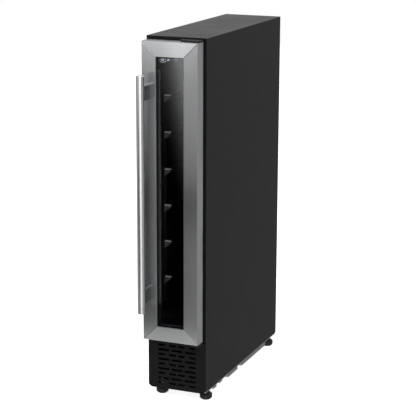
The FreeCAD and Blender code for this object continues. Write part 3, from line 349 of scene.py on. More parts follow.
def paleEnded(name, node, look):
    # Black coated or moulded rails whose front ends are coloured a pale warm grey for a short way back.
    material, tree, shader, place = startMaterial(name, {"IOR": 1.5, "Specular IOR Level": 0.2})
    split = addNode(tree, "SeparateXYZ", links={"Vector": place})
    fromMiddle = addNode(tree, "Math", operation="ABSOLUTE", links={0: split.outputs["X"]})
    onRail = addNode(tree, "Math", operation="GREATER_THAN",
                     values={1: look["endFrom"]}, links={0: fromMiddle.outputs["Value"]})
    atFront = addNode(tree, "Math", operation="LESS_THAN",
                      values={1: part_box(node)[0].y + look["endLength"]}, links={0: split.outputs["Y"]})
    bare = addNode(tree, "Math", operation="MULTIPLY",
                   links={0: onRail.outputs["Value"], 1: atFront.outputs["Value"]})
    colour = addNode(tree, "ValToRGB", links={"Fac": bare.outputs["Value"]},
                     stops=[(0.0, look["coat"]), (1.0, look["end"])]).outputs["Color"]
    feed(tree, colour, shader, "Base Color")
    grain = addNode(tree, "TexNoise", values={"Scale": 1 / look["grainSize"], "Detail": 2.0},
                    links={"Vector": place}).outputs["Fac"]
    low, high = look["roughness"]
    rough = addNode(tree, "MapRange", values={"To Min": low, "To Max": high}, links={"Value": grain})
    feed(tree, rough.outputs["Result"], shader, "Roughness")
    bump = addNode(tree, "Bump", links={"Height": grain},
                   values={"Strength": look["bump"], "Distance": look["bumpDepth"]})
    feed(tree, bump.outputs["Normal"], shader, "Normal")
    return material


ledWindow = {"roughness": 0.35, "cloudSize": 0.0015, "dimPart": 0.85}


def litPlastic(name, hexCode, strength):
    # Diffusing resin over an LED, whose light comes through a little unevenly.
    material, tree, shader, place = startMaterial(name, {
        "Roughness": ledWindow["roughness"], "Emission Strength": strength})
    clouds = addNode(tree, "TexNoise", values={"Scale": 1 / ledWindow["cloudSize"], "Detail": 1.0},
                     links={"Vector": place}).outputs["Fac"]
    dimmed = "".join("%02x" % int(int(hexCode[i:i + 2], 16) * ledWindow["dimPart"]) for i in (0, 2, 4))
    colour = addNode(tree, "ValToRGB", links={"Fac": clouds},
                     stops=[(0.3, dimmed), (0.7, hexCode)]).outputs["Color"]
    feed(tree, colour, shader, "Base Color")
    feed(tree, colour, shader, "Emission Color")
    return material


finishes = {name: texturedMaterial(name, look) for name, look in texturedLooks.items()}
finishes["galvanised"] = galvanisedSteel(galvanisedLook)
finishes["brushedUpright"] = brushedStainless("brushedStainlessUpright", "Z", stainlessLook)
finishes["shadedPost"] = brushedStainless("brushedStainlessPost", "Z", postShadeLook)
finishes["satinBar"] = brushedStainless("satinStainlessBar", "Z", brightenedBarLook)
finishes["brushedLevel"] = brushedStainless("brushedStainlessLevel", "X", stainlessLook)


# which nodes wear which finish
wornBy = {
    "powderCoatedSteel": ("side_panel_left", "side_panel_right", "rear_cover"),
    "powderCoatedTop": ("top_panel",),
    "galvanised": ("back_panel", "compartment_floor", "base_tray"),
    "blackAbs": ("front_frame", "kick_plate", "terminal_cover", "condenser_shroud"),
    "footPolypropylene": ("drip_tray", "foot_front_left", "foot_front_right", "foot_rear_left",
                          "foot_rear_right"),
    "linerPolystyrene": ("inner_liner", "control_housing", "evaporator_cover"),
    "polyurethaneFoam": ("insulation_foam",),
    "silverPaintedAbs": ("door_frame",),
    "compressorEnamel": ("compressor",),
    "nitrileRubber": ("compressor_mounts", "cord_gland", "touch_keys"),
    "acetal": ("hinge_bushes",),
    "filledNylon": ("temperature_sensor",),
    "pvcHose": ("drain_tube",),
    "opalPolycarbonate": ("light_strip",),
    "blackAcrylic": ("control_fascia",),
    "solderMask": ("display_module",),
    "coatedHingeSteel": ("hinge_bracket_top", "hinge_bracket_bottom"),
    "copperTube": ("refrigerant_pipes", "filter_drier"),
    "finAluminium": ("evaporator",),
    "condenserEnamel": ("condenser",),
    "motorCoat": ("circulation_fan_motor", "condenser_fan_motor"),
    "brushedUpright": ("door_stile_left", "door_stile_right"),
    "shadedPost": ("handle_posts",),
    "brushedLevel": ("door_rail_top", "door_rail_bottom"),
}


def dressNodes():
    for finish, names in wornBy.items():
        dress(finishes[finish], *names)
    dress(paleEnded("epoxyCoatedShelf", "shelf_1", shelfLook), *["shelf_" + str(i) for i in range(1, 7)])
    dress(paleEnded("ledgePolystyrene", "shelf_ledges", ledgeLook), "shelf_ledges")
    dress(temperedGlass("smokedGlass", glassLooks["smokedGlass"]), "glass_outer")
    dress(temperedGlass("clearGlass", glassLooks["clearGlass"]), "glass_inner")
    dress(spacerBar(spacerLook), "glass_spacer")
    for pane in ("glass_outer", "glass_inner"):
        nodes[pane].visible_shadow = False      # lamps shine in through the door


dressNodes()
print("finishes on the CAD nodes")


def finishPiece(name, shape, material, body, stands=(), place=(0, 0, 0), sharpFrom=35):
    mesh = bpy.data.meshes.new(name)
    bmesh.ops.recalc_face_normals(shape, faces=shape.faces)
    shape.to_mesh(mesh)
    shape.free()
    mesh.shade_smooth()
    mesh.set_sharp_from_angle(angle=math.radians(sharpFrom))
    mesh.materials.append(material)
    piece = addObject(name, mesh)
    piece.location = place
    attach(piece, body)
    if stands:
        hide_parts(*stands)
    return piece


def lathe(shape, profile, spot, steps):
    # Turns (radius, height) points about spot's own Z; spot is a matrix that places and aims the result.
    rings = []
    for radius, height in profile:
        count = 1 if radius < 1e-6 else steps
        angles = [2 * math.pi * i / count for i in range(count)]
        rings.append([shape.verts.new(spot @ Vector((radius * math.cos(a), radius * math.sin(a), height)))
                      for a in angles])
    for near, far in zip(rings, rings[1:]):
        for i in range(steps):
            j = i + 1
            corners = [near[i % len(near)], near[j % len(near)], far[j % len(far)], far[i % len(far)]]
            shape.faces.new(list(dict.fromkeys(corners)))


def extrudeOutline(shape, outline, depth, spot):
    # A flat outline in spot's X-Y, given thickness along its Z.
    near = [shape.verts.new(spot @ Vector((x, y, 0))) for x, y in outline]
    far = [shape.verts.new(spot @ Vector((x, y, depth))) for x, y in outline]
    count = len(outline)
    shape.faces.new(near)
    shape.faces.new(list(reversed(far)))
    for i in range(count):
        j = (i + 1) % count
        shape.faces.new([near[i], near[j], far[j], far[i]])


def roundedEnd(radius, height, edge, way, steps=5):
    # Profile of a flat end with a rolled edge, from the axis out (way -1) or from the rim in (way 1).
    arc = [math.pi / 2 * i / steps for i in range(steps + 1)]
    points = [(radius - edge + edge * math.cos(a), height + way * (edge * math.sin(a) - edge)) for a in arc]
    points.append((0.0, height))
    return points if way > 0 else list(reversed(points))


# the bar of the handle, turned from one piece, with a cap seam near each end
handleBar = {"steps": 96, "edge": 1.5 * mm, "capHeight": 2.5 * mm, "seamDepth": 0.25 * mm, "seamHalf": 0.15 * mm}


def makeHandleBar():
    low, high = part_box("handle_tube")
    middle = (low + high) / 2
    radius = min(high.x - low.x, high.y - low.y) / 2
    half = (high.z - low.z) / 2
    seam = half - handleBar["capHeight"]
    inner = radius - handleBar["seamDepth"]
    gap = handleBar["seamHalf"]
    sides = [(radius, -seam - gap), (inner, -seam), (radius, -seam + gap),
             (radius, -half / 3), (radius, half / 3),
             (radius, seam - gap), (inner, seam), (radius, seam + gap)]
    edge = handleBar["edge"]
    profile = roundedEnd(radius, -half, edge, -1) + sides + roundedEnd(radius, half, edge, 1)
    shape = bmesh.new()
    lathe(shape, profile, Matrix(), handleBar["steps"])
    finishPiece("handleBar", shape, finishes["satinBar"], "door", ["handle_tube"], middle)


# bellows section of the magnetic gasket: (inset from its outer edge, height off the door) in mm
gasketSection = {
    "width": 12.0,
    "half": [(0.0, 0.0), (0.0, 1.2), (0.3, 1.6), (2.5, 2.0), (3.0, 2.5), (3.1, 3.0), (3.0, 3.5), (2.5, 4.0),
             (1.2, 4.2), (1.0, 4.6), (1.0, 6.0), (1.15, 6.4), (1.6, 6.6), (2.2, 6.7)],
}


def makeDoorGasket():
    low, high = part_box("door_gasket")
    half = gasketSection["half"]
    section = half + [(gasketSection["width"] - inset, height) for inset, height in reversed(half)]
    shape = bmesh.new()
    loops = []
    for inset, height in section:
        step = inset * mm
        y = low.y + height * mm
        corners = [(low.x + step, low.z + step), (high.x - step, low.z + step),
                   (high.x - step, high.z - step), (low.x + step, high.z - step)]
        loops.append([shape.verts.new((x, y, z)) for x, z in corners])
    for near, far in zip(loops, loops[1:] + loops[:1]):
        for i in range(4):
            j = (i + 1) % 4
            shape.faces.new([near[i], near[j], far[j], far[i]])
    finishPiece("doorGasket", shape, finishes["softVinyl"], "door", ["door_gasket"], sharpFrom=50)


# legends on the control panel; sizes in mm, places from the panel's middle and from its top edge
controlLegends = {
    "filmThickness": 0.15, "keyLine": 16.6,
    "ringX": -35.6, "ringRadius": 7.0, "dots": 12, "dotRadius": 0.7, "dotTop": 0.8, "dotShoulder": 0.6,
    "dotSteps": 16, "lampSteps": 24,
    "powerRadius": 2.8, "powerStroke": 0.7, "powerGap": 38, "powerBar": (0.6, 4.0),
    "lampX": -22.0, "lampRadius": 1.7, "lampStroke": 0.8, "lampArc": (-60, 240),
    "lampFoot": -2.2, "lampFootHalf": 1.0, "lampFootStroke": 0.6,
    "digits": "12", "digitXs": (-8.5, -1.5), "digitBottom": 0.4, "digitWidth": 4.4, "digitHeight": 7.0,
    "stroke": 1.0, "arrowXs": (12.0, 27.0), "arrowHalf": 2.6, "arrowFoot": 1.3,
    "white": "f4f6ff", "whiteGlow": 5.0, "violet": "b3a2f5", "violetGlow": 4.0,
}
# lit bars of a digit: top, upper left, upper right, middle, lower left, lower right, bottom
litBars = {"1": (0, 0, 1, 0, 0, 1, 0), "2": (1, 0, 1, 1, 1, 0, 1)}


def arcOutline(radius, stroke, start, end, steps=32):
    angles = [math.radians(start + (end - start) * i / steps) for i in range(steps + 1)]
    far, near = radius + stroke / 2, radius - stroke / 2
    outer = [(far * math.cos(a), far * math.sin(a)) for a in angles]
    return outer + [(near * math.cos(a), near * math.sin(a)) for a in reversed(angles)]


def barOutline(x0, y0, x1, y1, stroke):
    # A display bar with pointed ends.
    along = Vector((x1 - x0, y1 - y0)).normalized()
    side = Vector((-along.y, along.x)) * stroke / 2
    tip = along * stroke / 2
    start, end = Vector((x0, y0)), Vector((x1, y1))
    return [tuple(p) for p in (start, start + tip + side, end - tip + side, end, end - tip - side,
                               start + tip - side)]


def makeLegends():
    low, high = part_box("control_fascia")
    look = controlLegends
    thickness = look["filmThickness"] * mm
    # panel's own plane: X to the right, Y up, Z out of its front face
    panel = Matrix.Translation((0, low.y, high.z)) @ Matrix.Rotation(math.pi / 2, 4, "X")

    def at(x, y):
        return panel @ Matrix.Translation((x * mm, y * mm, 0)) @ Matrix.Diagonal((mm, mm, 1, 1))

    keyY = -look["keyLine"]
    white = bmesh.new()
    dot = look["dotRadius"]
    bead = [(0.0, thickness), (dot * look["dotTop"], thickness), (dot, thickness * look["dotShoulder"]),
            (dot, 0.0), (0.0, 0.0)]
    for i in range(look["dots"]):
        angle = 2 * math.pi * i / look["dots"]
        x, y = look["ringRadius"] * math.cos(angle), look["ringRadius"] * math.sin(angle)
        lathe(white, bead, at(look["ringX"] + x, keyY + y), look["dotSteps"])
    power, lamp = at(look["ringX"], keyY), at(look["lampX"], keyY)
    gap, stroke = look["powerGap"], look["powerStroke"]
    foot, tip = look["powerBar"]
    extrudeOutline(white, arcOutline(look["powerRadius"], stroke, 90 + gap, 450 - gap), thickness, power)
    extrudeOutline(white, barOutline(0, foot, 0, tip, stroke), thickness, power)
    half, foot = look["lampFootHalf"], look["lampFoot"]
    arc = arcOutline(look["lampRadius"], look["lampStroke"], *look["lampArc"], look["lampSteps"])
    extrudeOutline(white, arc, thickness, lamp)
    extrudeOutline(white, barOutline(-half, foot, half, foot, look["lampFootStroke"]), thickness, lamp)
    finishPiece("powerAndLampLegends", white, litPlastic("whiteLedWindow", look["white"], look["whiteGlow"]),
                "cabinet")

    violet = bmesh.new()
    width, tall, stroke = look["digitWidth"], look["digitHeight"], look["stroke"]
    bottom = keyY + look["digitBottom"]
    middle, top = bottom + tall / 2, bottom + tall
    for centre, digit in zip(look["digitXs"], look["digits"]):
        left, right = centre - width / 2, centre + width / 2
        bars = [(left, top, right, top), (left, middle, left, top), (right, middle, right, top),
                (left, middle, right, middle), (left, bottom, left, middle), (right, bottom, right, middle),
                (left, bottom, right, bottom)]
        for bar, lit in zip(bars, litBars[digit]):
            if lit:
                extrudeOutline(violet, barOutline(*bar, stroke), thickness, at(0, 0))
    finishPiece("readoutDigits", violet, litPlastic("violetLedWindow", look["violet"], look["violetGlow"]),
                "cabinet")

    grey = bmesh.new()
    half, foot = look["arrowHalf"], look["arrowFoot"]
    for x, way in zip(look["arrowXs"], (1, -1)):
        arrow = [(-half, -way * foot), (half, -way * foot), (0, way * half)]
        extrudeOutline(grey, arrow, thickness, at(x, keyY))
    finishPiece("arrowLegends", grey, texturedMaterial("greyPanelInk", {
        "dark": "4a4b4e", "light": "5a5b5e", "cloudSize": 0.004, "roughness": (0.5, 0.6), "grainSize": 0.0006}),
        "cabinet")


def solidBoxes(nodeName):
    # The box of each separate solid in a CAD node.
    shape = bmesh.new()
    shape.from_mesh(nodes[nodeName].data)
    bmesh.ops.remove_doubles(shape, verts=shape.verts, dist=1e-6)
    left = set(shape.verts)
    boxes = []
    while left:
        island = [left.pop()]
        for vert in island:
            for edge in vert.link_edges:
                other = edge.other_vert(vert)
                if other in left:
                    left.remove(other)
                    island.append(other)
        spots = [v.co for v in island]
        boxes.append((Vector([min(s[k] for s in spots) for k in range(3)]),
                      Vector([max(s[k] for s in spots) for k in range(3)])))
    shape.free()
    return boxes


# pan-head screws with a cross recess; recessDepth and rimRise are parts of the head's height, and the
# other sizes without mm are parts of a radius
screwShape = {
    "steps": 32, "domeSteps": 6, "recessReach": 0.62, "recessHalf": 0.13, "recessDepth": 0.55,
    "threadPitch": 0.9 * mm, "shankPart": 0.48, "tipPart": 0.5, "rootPart": 0.8, "crownPart": 0.55, "rimRise": 0.35,
}
screwHeads = {"large": 1.8 * mm, "small": 0.8 * mm, "largeFrom": 3 * mm, "handle": 3.5 * mm}


def crossRecess(shape, radius, head, spot):
    reach, half = radius * screwShape["recessReach"], radius * screwShape["recessHalf"]
    plus = [(half, half), (half, reach), (-half, reach), (-half, half), (-reach, half), (-reach, -half),
            (-half, -half), (-half, -reach), (half, -reach), (half, -half), (reach, -half), (reach, half)]
    depth = head * screwShape["recessDepth"]
    extrudeOutline(shape, plus, depth + head, spot @ Matrix.Translation((0, 0, head - depth)))


def screwProfile(radius, head, length):
    # From the tip up a threaded shank, out under the head and over its dome.
    look = screwShape
    pitch, shank = look["threadPitch"], radius * look["shankPart"]
    root = shank * look["rootPart"]
    points = [(0.0, -length), (shank * look["tipPart"], -length)]
    height = -length + pitch
    while height < -pitch:
        points += [(root, height), (shank, height + pitch / 2)]
        height += pitch
    rim, crown = look["rimRise"], look["crownPart"]
    points += [(root, -pitch / 2), (root, 0.0), (radius, 0.0), (radius, head * rim)]
    for i in range(1, look["domeSteps"]):
        a = math.pi / 2 * i / look["domeSteps"]
        points.append((radius * (crown + (1 - crown) * math.cos(a)), head * (rim + (1 - rim) * math.sin(a))))
    return points + [(0.0, head)]


def makeScrews(name, node, headOf, headHeights, finish, body):
    # headOf tells, for a screw's box, which way its head faces: a unit vector.
    shape, cutter = bmesh.new(), bmesh.new()
    for low, high in solidBoxes(node):
        size = high - low
        facing = headOf(low, high)
        axis = max(range(3), key=lambda k: abs(facing[k]))
        radius = size[(axis + 1) % 3] / 2
        head = headHeights(radius)
        crown = (low + high) / 2
        crown[axis] = (high if facing[axis] > 0 else low)[axis] - facing[axis] * head
        spot = Matrix.Translation(crown) @ facing.to_track_quat("Z", "Y").to_matrix().to_4x4()
        lathe(shape, screwProfile(radius, head, size[axis] - head), spot, screwShape["steps"])
        crossRecess(cutter, radius, head, spot)
    cutterMesh = bpy.data.meshes.new(name + "Cutter")
    bmesh.ops.recalc_face_normals(cutter, faces=cutter.faces)
    cutter.to_mesh(cutterMesh)
    cutter.free()
    cutterPiece = addObject(name + "Cutter", cutterMesh)
    piece = finishPiece(name, shape, finishes[finish], body, [node])
    cut = piece.modifiers.new("crossRecess", "BOOLEAN")
    cut.operation = "DIFFERENCE"
    cut.solver = "EXACT"
    cut.object = cutterPiece
    done = bpy.data.meshes.new_from_object(piece.evaluated_get(bpy.context.evaluated_depsgraph_get()))
    piece.modifiers.clear()
    piece.data = done
    done.set_sharp_from_angle(angle=math.radians(35))
    bpy.data.objects.remove(cutterPiece)


def cabinetScrewFacing(low, high):
    if high.y - low.y > high.z - low.z:
        return Vector((0, -1, 0))
    return Vector((0, 0, 1)) if low.z > cadHigh.z / 2 else Vector((0, 0, -1))


# axial fans: blades curved and twisted, thicker at the root; Part is a part of the hub's or the fan's size
fanShape = {
    "bladeSpan": 12, "bladeSlices": 7, "rootSheet": 1.8 * mm, "tipSheet": 1.1 * mm, "rootPitch": 46,
    "tipPitch": 27, "rootPart": 0.96, "tipPart": 0.985, "chordPart": 0.55, "depthPart": 0.92, "camber": 0.09,
    "steps": 48, "shaft": 1.9 * mm, "hubEdge": 0.6 * mm,
    # the rounded nose: (part of the hub's radius, height)
    "hubNose": [(0.0, 0.0), (0.55, 0.0), (0.85, 0.6 * mm), (0.97, 1.8 * mm), (1.0, 3.2 * mm)],
}
fanSizes = {
    "circulation_fan": {"hub": 12 * mm, "depth": 14 * mm, "blades": 7},
    "condenser_fan": {"hub": 14 * mm, "depth": 14 * mm, "blades": 5},
}


def fanBlade(shape, radius, hub, depth, centre, turn):
    look = fanShape
    root, tip = hub * look["rootPart"], radius * look["tipPart"]
    upper, lower = [], []
    for i in range(look["bladeSlices"]):
        along = i / (look["bladeSlices"] - 1)
        r = root + (tip - root) * along
        pitch = math.radians(look["rootPitch"] + (look["tipPitch"] - look["rootPitch"]) * along)
        chord = min(look["chordPart"] * radius, look["depthPart"] * depth / math.sin(pitch))
        sheet = look["rootSheet"] + (look["tipSheet"] - look["rootSheet"]) * along
        over, under = [], []
        for k in range(look["bladeSpan"] + 1):
            s = k / look["bladeSpan"] - 0.5
            rise = look["camber"] * chord * (1 - 4 * s * s)
            half = sheet / 2 * math.sqrt(max(0.0, 1 - (2 * s) ** 4))
            for side, row in ((half, over), (-half, under)):
                across = s * chord * math.cos(pitch) - (rise + side) * math.sin(pitch)
                deep = s * chord * math.sin(pitch) + (rise + side) * math.cos(pitch)
                deep = max(-depth / 2, min(depth / 2, deep))
                angle = turn + across / r
                row.append(shape.verts.new(centre + Vector((r * math.sin(angle), deep, r * math.cos(angle)))))
        upper.append(over)
        lower.append(under)
    for rows, flip in ((upper, False), (lower, True)):
        for near, far in zip(rows, rows[1:]):
            for k in range(look["bladeSpan"]):
                corners = [near[k], near[k + 1], far[k + 1], far[k]]
                shape.faces.new(corners[::-1] if flip else corners)
    rim, base = [[row[0] for row in rows] + rows[-1][1:-1] + [row[-1] for row in reversed(rows)]
                 + rows[0][-2:0:-1] for rows in (upper, lower)]
    for i in range(len(rim)):
        j = (i + 1) % len(rim)
        shape.faces.new([rim[i], base[i], base[j], rim[j]])


def makeFan(name, node):
    # The node and the body that turns have one name.
    hub, depth, blades = (fanSizes[node][part] for part in ("hub", "depth", "blades"))
    low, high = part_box(node)
    # the blades aren't even about the axis, so it comes from the joint and not from the box
    axisZ = next(joint["pos_m"][2] for joint in frame["record"]["behaviour"]["joints"] if joint["child"] == node)
    radius = max(high.z - axisZ, axisZ - low.z, high.x, -low.x)
    centre = Vector((0, low.y + depth / 2, axisZ))
    shape = bmesh.new()
    spot = Matrix.Translation((0, low.y, axisZ)) @ Matrix.Rotation(-math.pi / 2, 4, "X")
    shaft, edge, length = fanShape["shaft"], fanShape["hubEdge"], high.y - low.y
    nose = [(hub * part, height) for part, height in fanShape["hubNose"]]
    back = [(hub, depth - edge), (hub - edge, depth), (shaft, depth), (shaft, length), (0.0, length)]
    lathe(shape, nose + back, spot, fanShape["steps"])
    for i in range(blades):
        fanBlade(shape, radius, hub, depth, centre, 2 * math.pi * i / blades)
    finishPiece(name, shape, finishes["filledNylon"], node, [node])


def makePieces():
    makeHandleBar()
    makeDoorGasket()
    makeLegends()
    heads = screwHeads
    makeScrews("panHeadScrews", "cabinet_screws", cabinetScrewFacing,
               lambda radius: heads["large"] if radius > heads["largeFrom"] else heads["small"],
               "blackZinc", "cabinet")
    makeScrews("handleFixingScrews", "handle_screws", lambda low, high: Vector((0, 1, 0)),
               lambda radius: heads["handle"], "zincPlate", "door")
    makeFan("circulationRotor", "circulation_fan")
    makeFan("condenserRotor", "condenser_fan")


makePieces()
print("pieces made")


studio = {
    "floorHalf": 6.0, "floorColour": "f4f4f4", "floorGlow": 0.82,
    # sky that matt surfaces see, then sky that glossy surfaces see; Edge is where down turns to up
    "skyUp": 0.55, "skyDown": 0.12, "skyEdge": (-0.1, 0.25),
    "glossUp": 0.55, "glossDown": 0.39, "glossEdge": (-0.05, 0.1),
    "stripGlow": 3.6, "stripTurn": 23.7, "stripEdge": (0.86, 0.94), "stripFoot": (-0.02, 0.06),
    "throughGlass": 0.15,                        # share of the sky that is seen through a pane
    "aim": (0, 0, 0.45),
}
softboxes = {
    "keySoftbox": {"place": (1.1, -2.6, 2.5), "size": (1.4, 1.4), "power": 55.0},
    "fillSoftbox": {"place": (-2.2, -1.6, 1.4), "size": (1.2, 2.0), "power": 2.0},
    "topSoftbox": {"place": (0.2, 0.4, 3.0), "size": (2.2, 2.2), "power": 25.0},
    "backSoftbox": {"place": (0.6, 2.8, 1.8), "size": (1.6, 1.6), "power": 10.0},
}

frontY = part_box("kick_plate")[0].y
cameraPlace = {
    "fromMiddle": 1.3190, "fromFront": 3.0087, "height": 1.2768,
    "turn": 0.3911, "tilt": 0.2397, "roll": 0.0036, "lens": 126.63, "sensor": 36,
}


def stagePlane(name, corners):
    mesh = bpy.data.meshes.new(name)
    mesh.from_pydata(corners, [], [(0, 1, 2, 3)])
    plane = addObject(name, mesh)
    return plane


def makeFloor():
    half = studio["floorHalf"]
    floor = stagePlane("studioFloor", [(-half, -half, 0), (half, -half, 0), (half, half, 0), (-half, half, 0)])
    floor.data.materials.append(startMaterial("paleFloor", {
        "Roughness": 0.8, "Specular IOR Level": 0.2, "Base Color": linearColour(studio["floorColour"]),
        "Emission Color": (1, 1, 1, 1), "Emission Strength": studio["floorGlow"]})[0])
    floor.visible_glossy = False
    floor.visible_transmission = False


# A card in front of the door, which gloss sees and which shows through the glass, but not to the camera
# itself. Sizes in metres, glow in scene units.
doorCard = {
    "distance": 0.441, "left": -0.62, "right": -0.06, "bottom": -0.2, "top": 1.05,
    "paneHalf": 0.036, "paneFade": 0.006,        # half width of the glass, on the door
    # glow beside each stile: (height on the door in metres, glow)
    "leftBands": [
        (0.0, 2.0), (0.11, 1.85), (0.16, 0.1), (0.206, 0.03), (0.381, 0.03), (0.44, 0.02), (0.475, 0.0),
        (0.525, 0.0), (0.556, 0.06), (0.673, 0.1), (0.732, 0.1), (0.778, 0.15), (0.825, 0.45), (0.86, 0.75),
        (0.90, 1.65), (1.0, 1.65)],
    "rightBands": [
        (0.0, 1.65), (0.11, 1.5), (0.16, 0.3), (0.206, 0.18), (0.264, 0.32), (0.381, 0.35), (0.44, 0.24),
        (0.475, 0.0), (0.525, 0.0), (0.556, 0.40), (0.615, 0.55), (0.673, 0.64), (0.732, 0.5), (0.778, 0.2),
        (0.825, 0.35), (0.86, 0.6), (0.90, 2.15), (1.0, 2.15)],
    # glow behind the pane: (lean times place across + height - from) over the span, to a power, up to a limit
    "glowFrom": 0.52, "glowSpan": 0.356, "glowLean": 3.8, "glowPower": 3.3, "glow": 2.15, "glowLimit": 2.4,
}


def makeDoorCard():
    look = doorCard
    railLow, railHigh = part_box("door_rail_top")
    y = railLow.y - look["distance"]
    spread = 1 + look["distance"] / (cameraPlace["fromFront"] - (frontY - railLow.y))
    left, right, bottom, top = look["left"], look["right"], look["bottom"], look["top"]
    card = stagePlane("doorCard", [(left, y, bottom), (right, y, bottom), (right, y, top), (left, y, top)])
    material = bpy.data.materials.new("doorCardGlow")
    tree = emptyTree(material)
    place = addNode(tree, "TexCoord").outputs["Object"]
    # where on the door this point of the card is seen
    share = (spread - 1) / spread
    shift = (share * cameraPlace["fromMiddle"], 0, share * cameraPlace["height"])
    onDoor = addNode(tree, "Mapping", values={"Scale": (1 / spread, 1, 1 / spread), "Location": shift},
                     links={"Vector": place})
    split = addNode(tree, "SeparateXYZ", links={"Vector": onDoor.outputs["Vector"]})
    across, height = split.outputs["X"], split.outputs["Z"]
    leftGlow = addNode(tree, "ValToRGB", links={"Fac": height}, stops=look["leftBands"])
    rightGlow = addNode(tree, "ValToRGB", links={"Fac": height}, stops=look["rightBands"])
    lean = addNode(tree, "Math", operation="MULTIPLY_ADD",
                   values={1: look["glowLean"]}, links={0: across, 2: height})
    rise = addNode(tree, "MapRange", clamp=False, links={"Value": lean.outputs["Value"]},
                   values={"From Min": look["glowFrom"], "From Max": look["glowFrom"] + look["glowSpan"],
                           "To Max": 1.0})
    positive = addNode(tree, "Math", operation="MAXIMUM", values={1: 0.0}, links={0: rise.outputs["Result"]})
    curve = addNode(tree, "Math", operation="POWER", values={1: look["glowPower"]},
                    links={0: positive.outputs["Value"]})
    scaled = addNode(tree, "Math", operation="MULTIPLY", values={1: look["glow"]},
                     links={0: curve.outputs["Value"]})
    paneGlow = addNode(tree, "Math", operation="MINIMUM", values={1: look["glowLimit"]},
                       links={0: scaled.outputs["Value"]})
    offMiddle = addNode(tree, "Math", operation="ABSOLUTE", links={0: across})
    outside = addNode(tree, "MapRange", interpolation_type="SMOOTHSTEP",
                      links={"Value": offMiddle.outputs["Value"]},
                      values={"From Min": look["paneHalf"], "From Max": look["paneHalf"] + look["paneFade"]})
    paneLow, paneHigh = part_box("glass_spacer")
    middleZ, halfZ = (paneLow.z + paneHigh.z) / 2, (paneHigh.z - paneLow.z) / 2
    offLevel = addNode(tree, "Math", operation="SUBTRACT", values={1: middleZ}, links={0: height})
    offLevel = addNode(tree, "Math", operation="ABSOLUTE", links={0: offLevel.outputs["Value"]})
    beyond = addNode(tree, "MapRange", interpolation_type="SMOOTHSTEP",
                     links={"Value": offLevel.outputs["Value"]},
                     values={"From Min": halfZ, "From Max": halfZ + look["paneFade"]})
    onFrame = addNode(tree, "Math", operation="MAXIMUM",
                      links={0: outside.outputs["Result"], 1: beyond.outputs["Result"]})
    sided = addNode(tree, "MapRange", links={"Value": across},
                    values={"From Min": -railHigh.x, "From Max": railHigh.x})
    frameGlow = addNode(tree, "Mix", data_type="RGBA",
                        links={0: sided.outputs["Result"], 6: leftGlow.outputs["Color"],
                               7: rightGlow.outputs["Color"]})
    framePart = addNode(tree, "Math", operation="MULTIPLY",
                        links={0: frameGlow.outputs[2], 1: onFrame.outputs["Value"]})
    onPane = addNode(tree, "Math", operation="SUBTRACT", values={0: 1.0}, links={1: onFrame.outputs["Value"]})
    glow = addNode(tree, "Math", operation="MULTIPLY_ADD",
                   links={0: paneGlow.outputs["Value"], 1: onPane.outputs["Value"],
                          2: framePart.outputs["Value"]})
    emission = addNode(tree, "Emission", links={"Strength": glow.outputs["Value"]})
    addNode(tree, "OutputMaterial", links={"Surface": emission.outputs["Emission"]})
    card.data.materials.append(material)
    card.visible_camera = False
    card.visible_diffuse = False
    card.visible_shadow = False


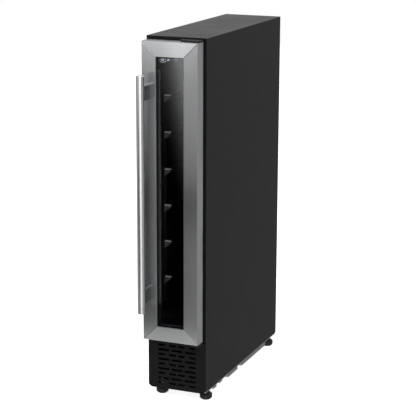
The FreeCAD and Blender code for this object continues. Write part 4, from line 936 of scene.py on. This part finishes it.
def makeWorld():
    world = bpy.data.worlds.new("studio")
    bpy.context.scene.world = world
    tree = emptyTree(world)
    direction = addNode(tree, "TexCoord").outputs["Generated"]
    height = addNode(tree, "SeparateXYZ", links={"Vector": direction}).outputs["Z"]
    rays = addNode(tree, "LightPath")
    low, high = studio["skyEdge"]
    sky = addNode(tree, "MapRange", interpolation_type="SMOOTHSTEP",
                  values={"From Min": low, "From Max": high, "To Min": studio["skyDown"],
                          "To Max": studio["skyUp"]},
                  links={"Value": height})
    dimmed = addNode(tree, "MapRange", values={"To Min": 1.0, "To Max": studio["throughGlass"]},
                     links={"Value": rays.outputs["Is Transmission Ray"]})
    skyGlow = addNode(tree, "Math", operation="MULTIPLY",
                      links={0: sky.outputs["Result"], 1: dimmed.outputs["Result"]})
    matt = addNode(tree, "Background", values={"Color": (1, 1, 1, 1)},
                   links={"Strength": skyGlow.outputs["Value"]})
    low, high = studio["glossEdge"]
    gloss = addNode(tree, "MapRange", interpolation_type="SMOOTHSTEP",
                    values={"From Min": low, "From Max": high, "To Min": studio["glossDown"],
                            "To Max": studio["glossUp"]},
                    links={"Value": height})
    # a tall softbox, as a stripe of sky on the side that the camera stands on
    turn = math.radians(studio["stripTurn"])
    facing = addNode(tree, "VectorMath", operation="DOT_PRODUCT",
                     values={1: (math.sin(turn), -math.cos(turn), 0)}, links={0: direction})
    low, high = studio["stripEdge"]
    strip = addNode(tree, "MapRange", interpolation_type="SMOOTHSTEP",
                    values={"From Min": low, "From Max": high, "To Max": studio["stripGlow"]},
                    links={"Value": facing.outputs["Value"]})
    low, high = studio["stripFoot"]
    foot = addNode(tree, "MapRange", values={"From Min": low, "From Max": high}, links={"Value": height})
    shiny = addNode(tree, "Math", operation="MULTIPLY_ADD",
                    links={0: foot.outputs["Result"], 1: strip.outputs["Result"], 2: gloss.outputs["Result"]})
    glossy = addNode(tree, "Background", values={"Color": (1, 1, 1, 1)},
                     links={"Strength": shiny.outputs["Value"]})
    seen = addNode(tree, "Background", values={"Color": (1, 1, 1, 1), "Strength": 1.0})
    lighting = addNode(tree, "MixShader",
                       links={0: rays.outputs["Is Glossy Ray"], 1: matt.outputs[0], 2: glossy.outputs[0]})
    both = addNode(tree, "MixShader",
                   links={0: rays.outputs["Is Camera Ray"], 1: lighting.outputs[0], 2: seen.outputs[0]})
    addNode(tree, "OutputWorld", links={"Surface": both.outputs[0]})


def makeSoftbox(name, box):
    light = bpy.data.lights.new(name, "AREA")
    light.shape = "RECTANGLE"
    light.size, light.size_y = box["size"]
    light.energy = box["power"]
    softbox = addObject(name, light)
    softbox.location = box["place"]
    aim = Vector(studio["aim"]) - Vector(box["place"])
    softbox.rotation_euler = aim.to_track_quat("-Z", "Y").to_euler()
    softbox.visible_camera = False


def makeCamera():
    camera = addObject("camera", bpy.data.cameras.new("camera"))
    camera.data.lens = cameraPlace["lens"]
    camera.data.sensor_width = cameraPlace["sensor"]
    turn = Matrix.Rotation(cameraPlace["turn"], 4, "Z")
    tilt = Matrix.Rotation(math.pi / 2 - cameraPlace["tilt"], 4, "X")
    roll = Matrix.Rotation(cameraPlace["roll"], 4, "Z")
    spot = (cameraPlace["fromMiddle"], frontY - cameraPlace["fromFront"], cameraPlace["height"])
    camera.matrix_world = Matrix.Translation(spot) @ turn @ tilt @ roll
    bpy.context.scene.camera = camera


def makeStudio():
    makeFloor()
    makeDoorCard()
    makeWorld()
    for name, box in softboxes.items():
        makeSoftbox(name, box)
    makeCamera()
    bpy.context.scene.view_settings.view_transform = "Standard"


makeStudio()
print("studio made")
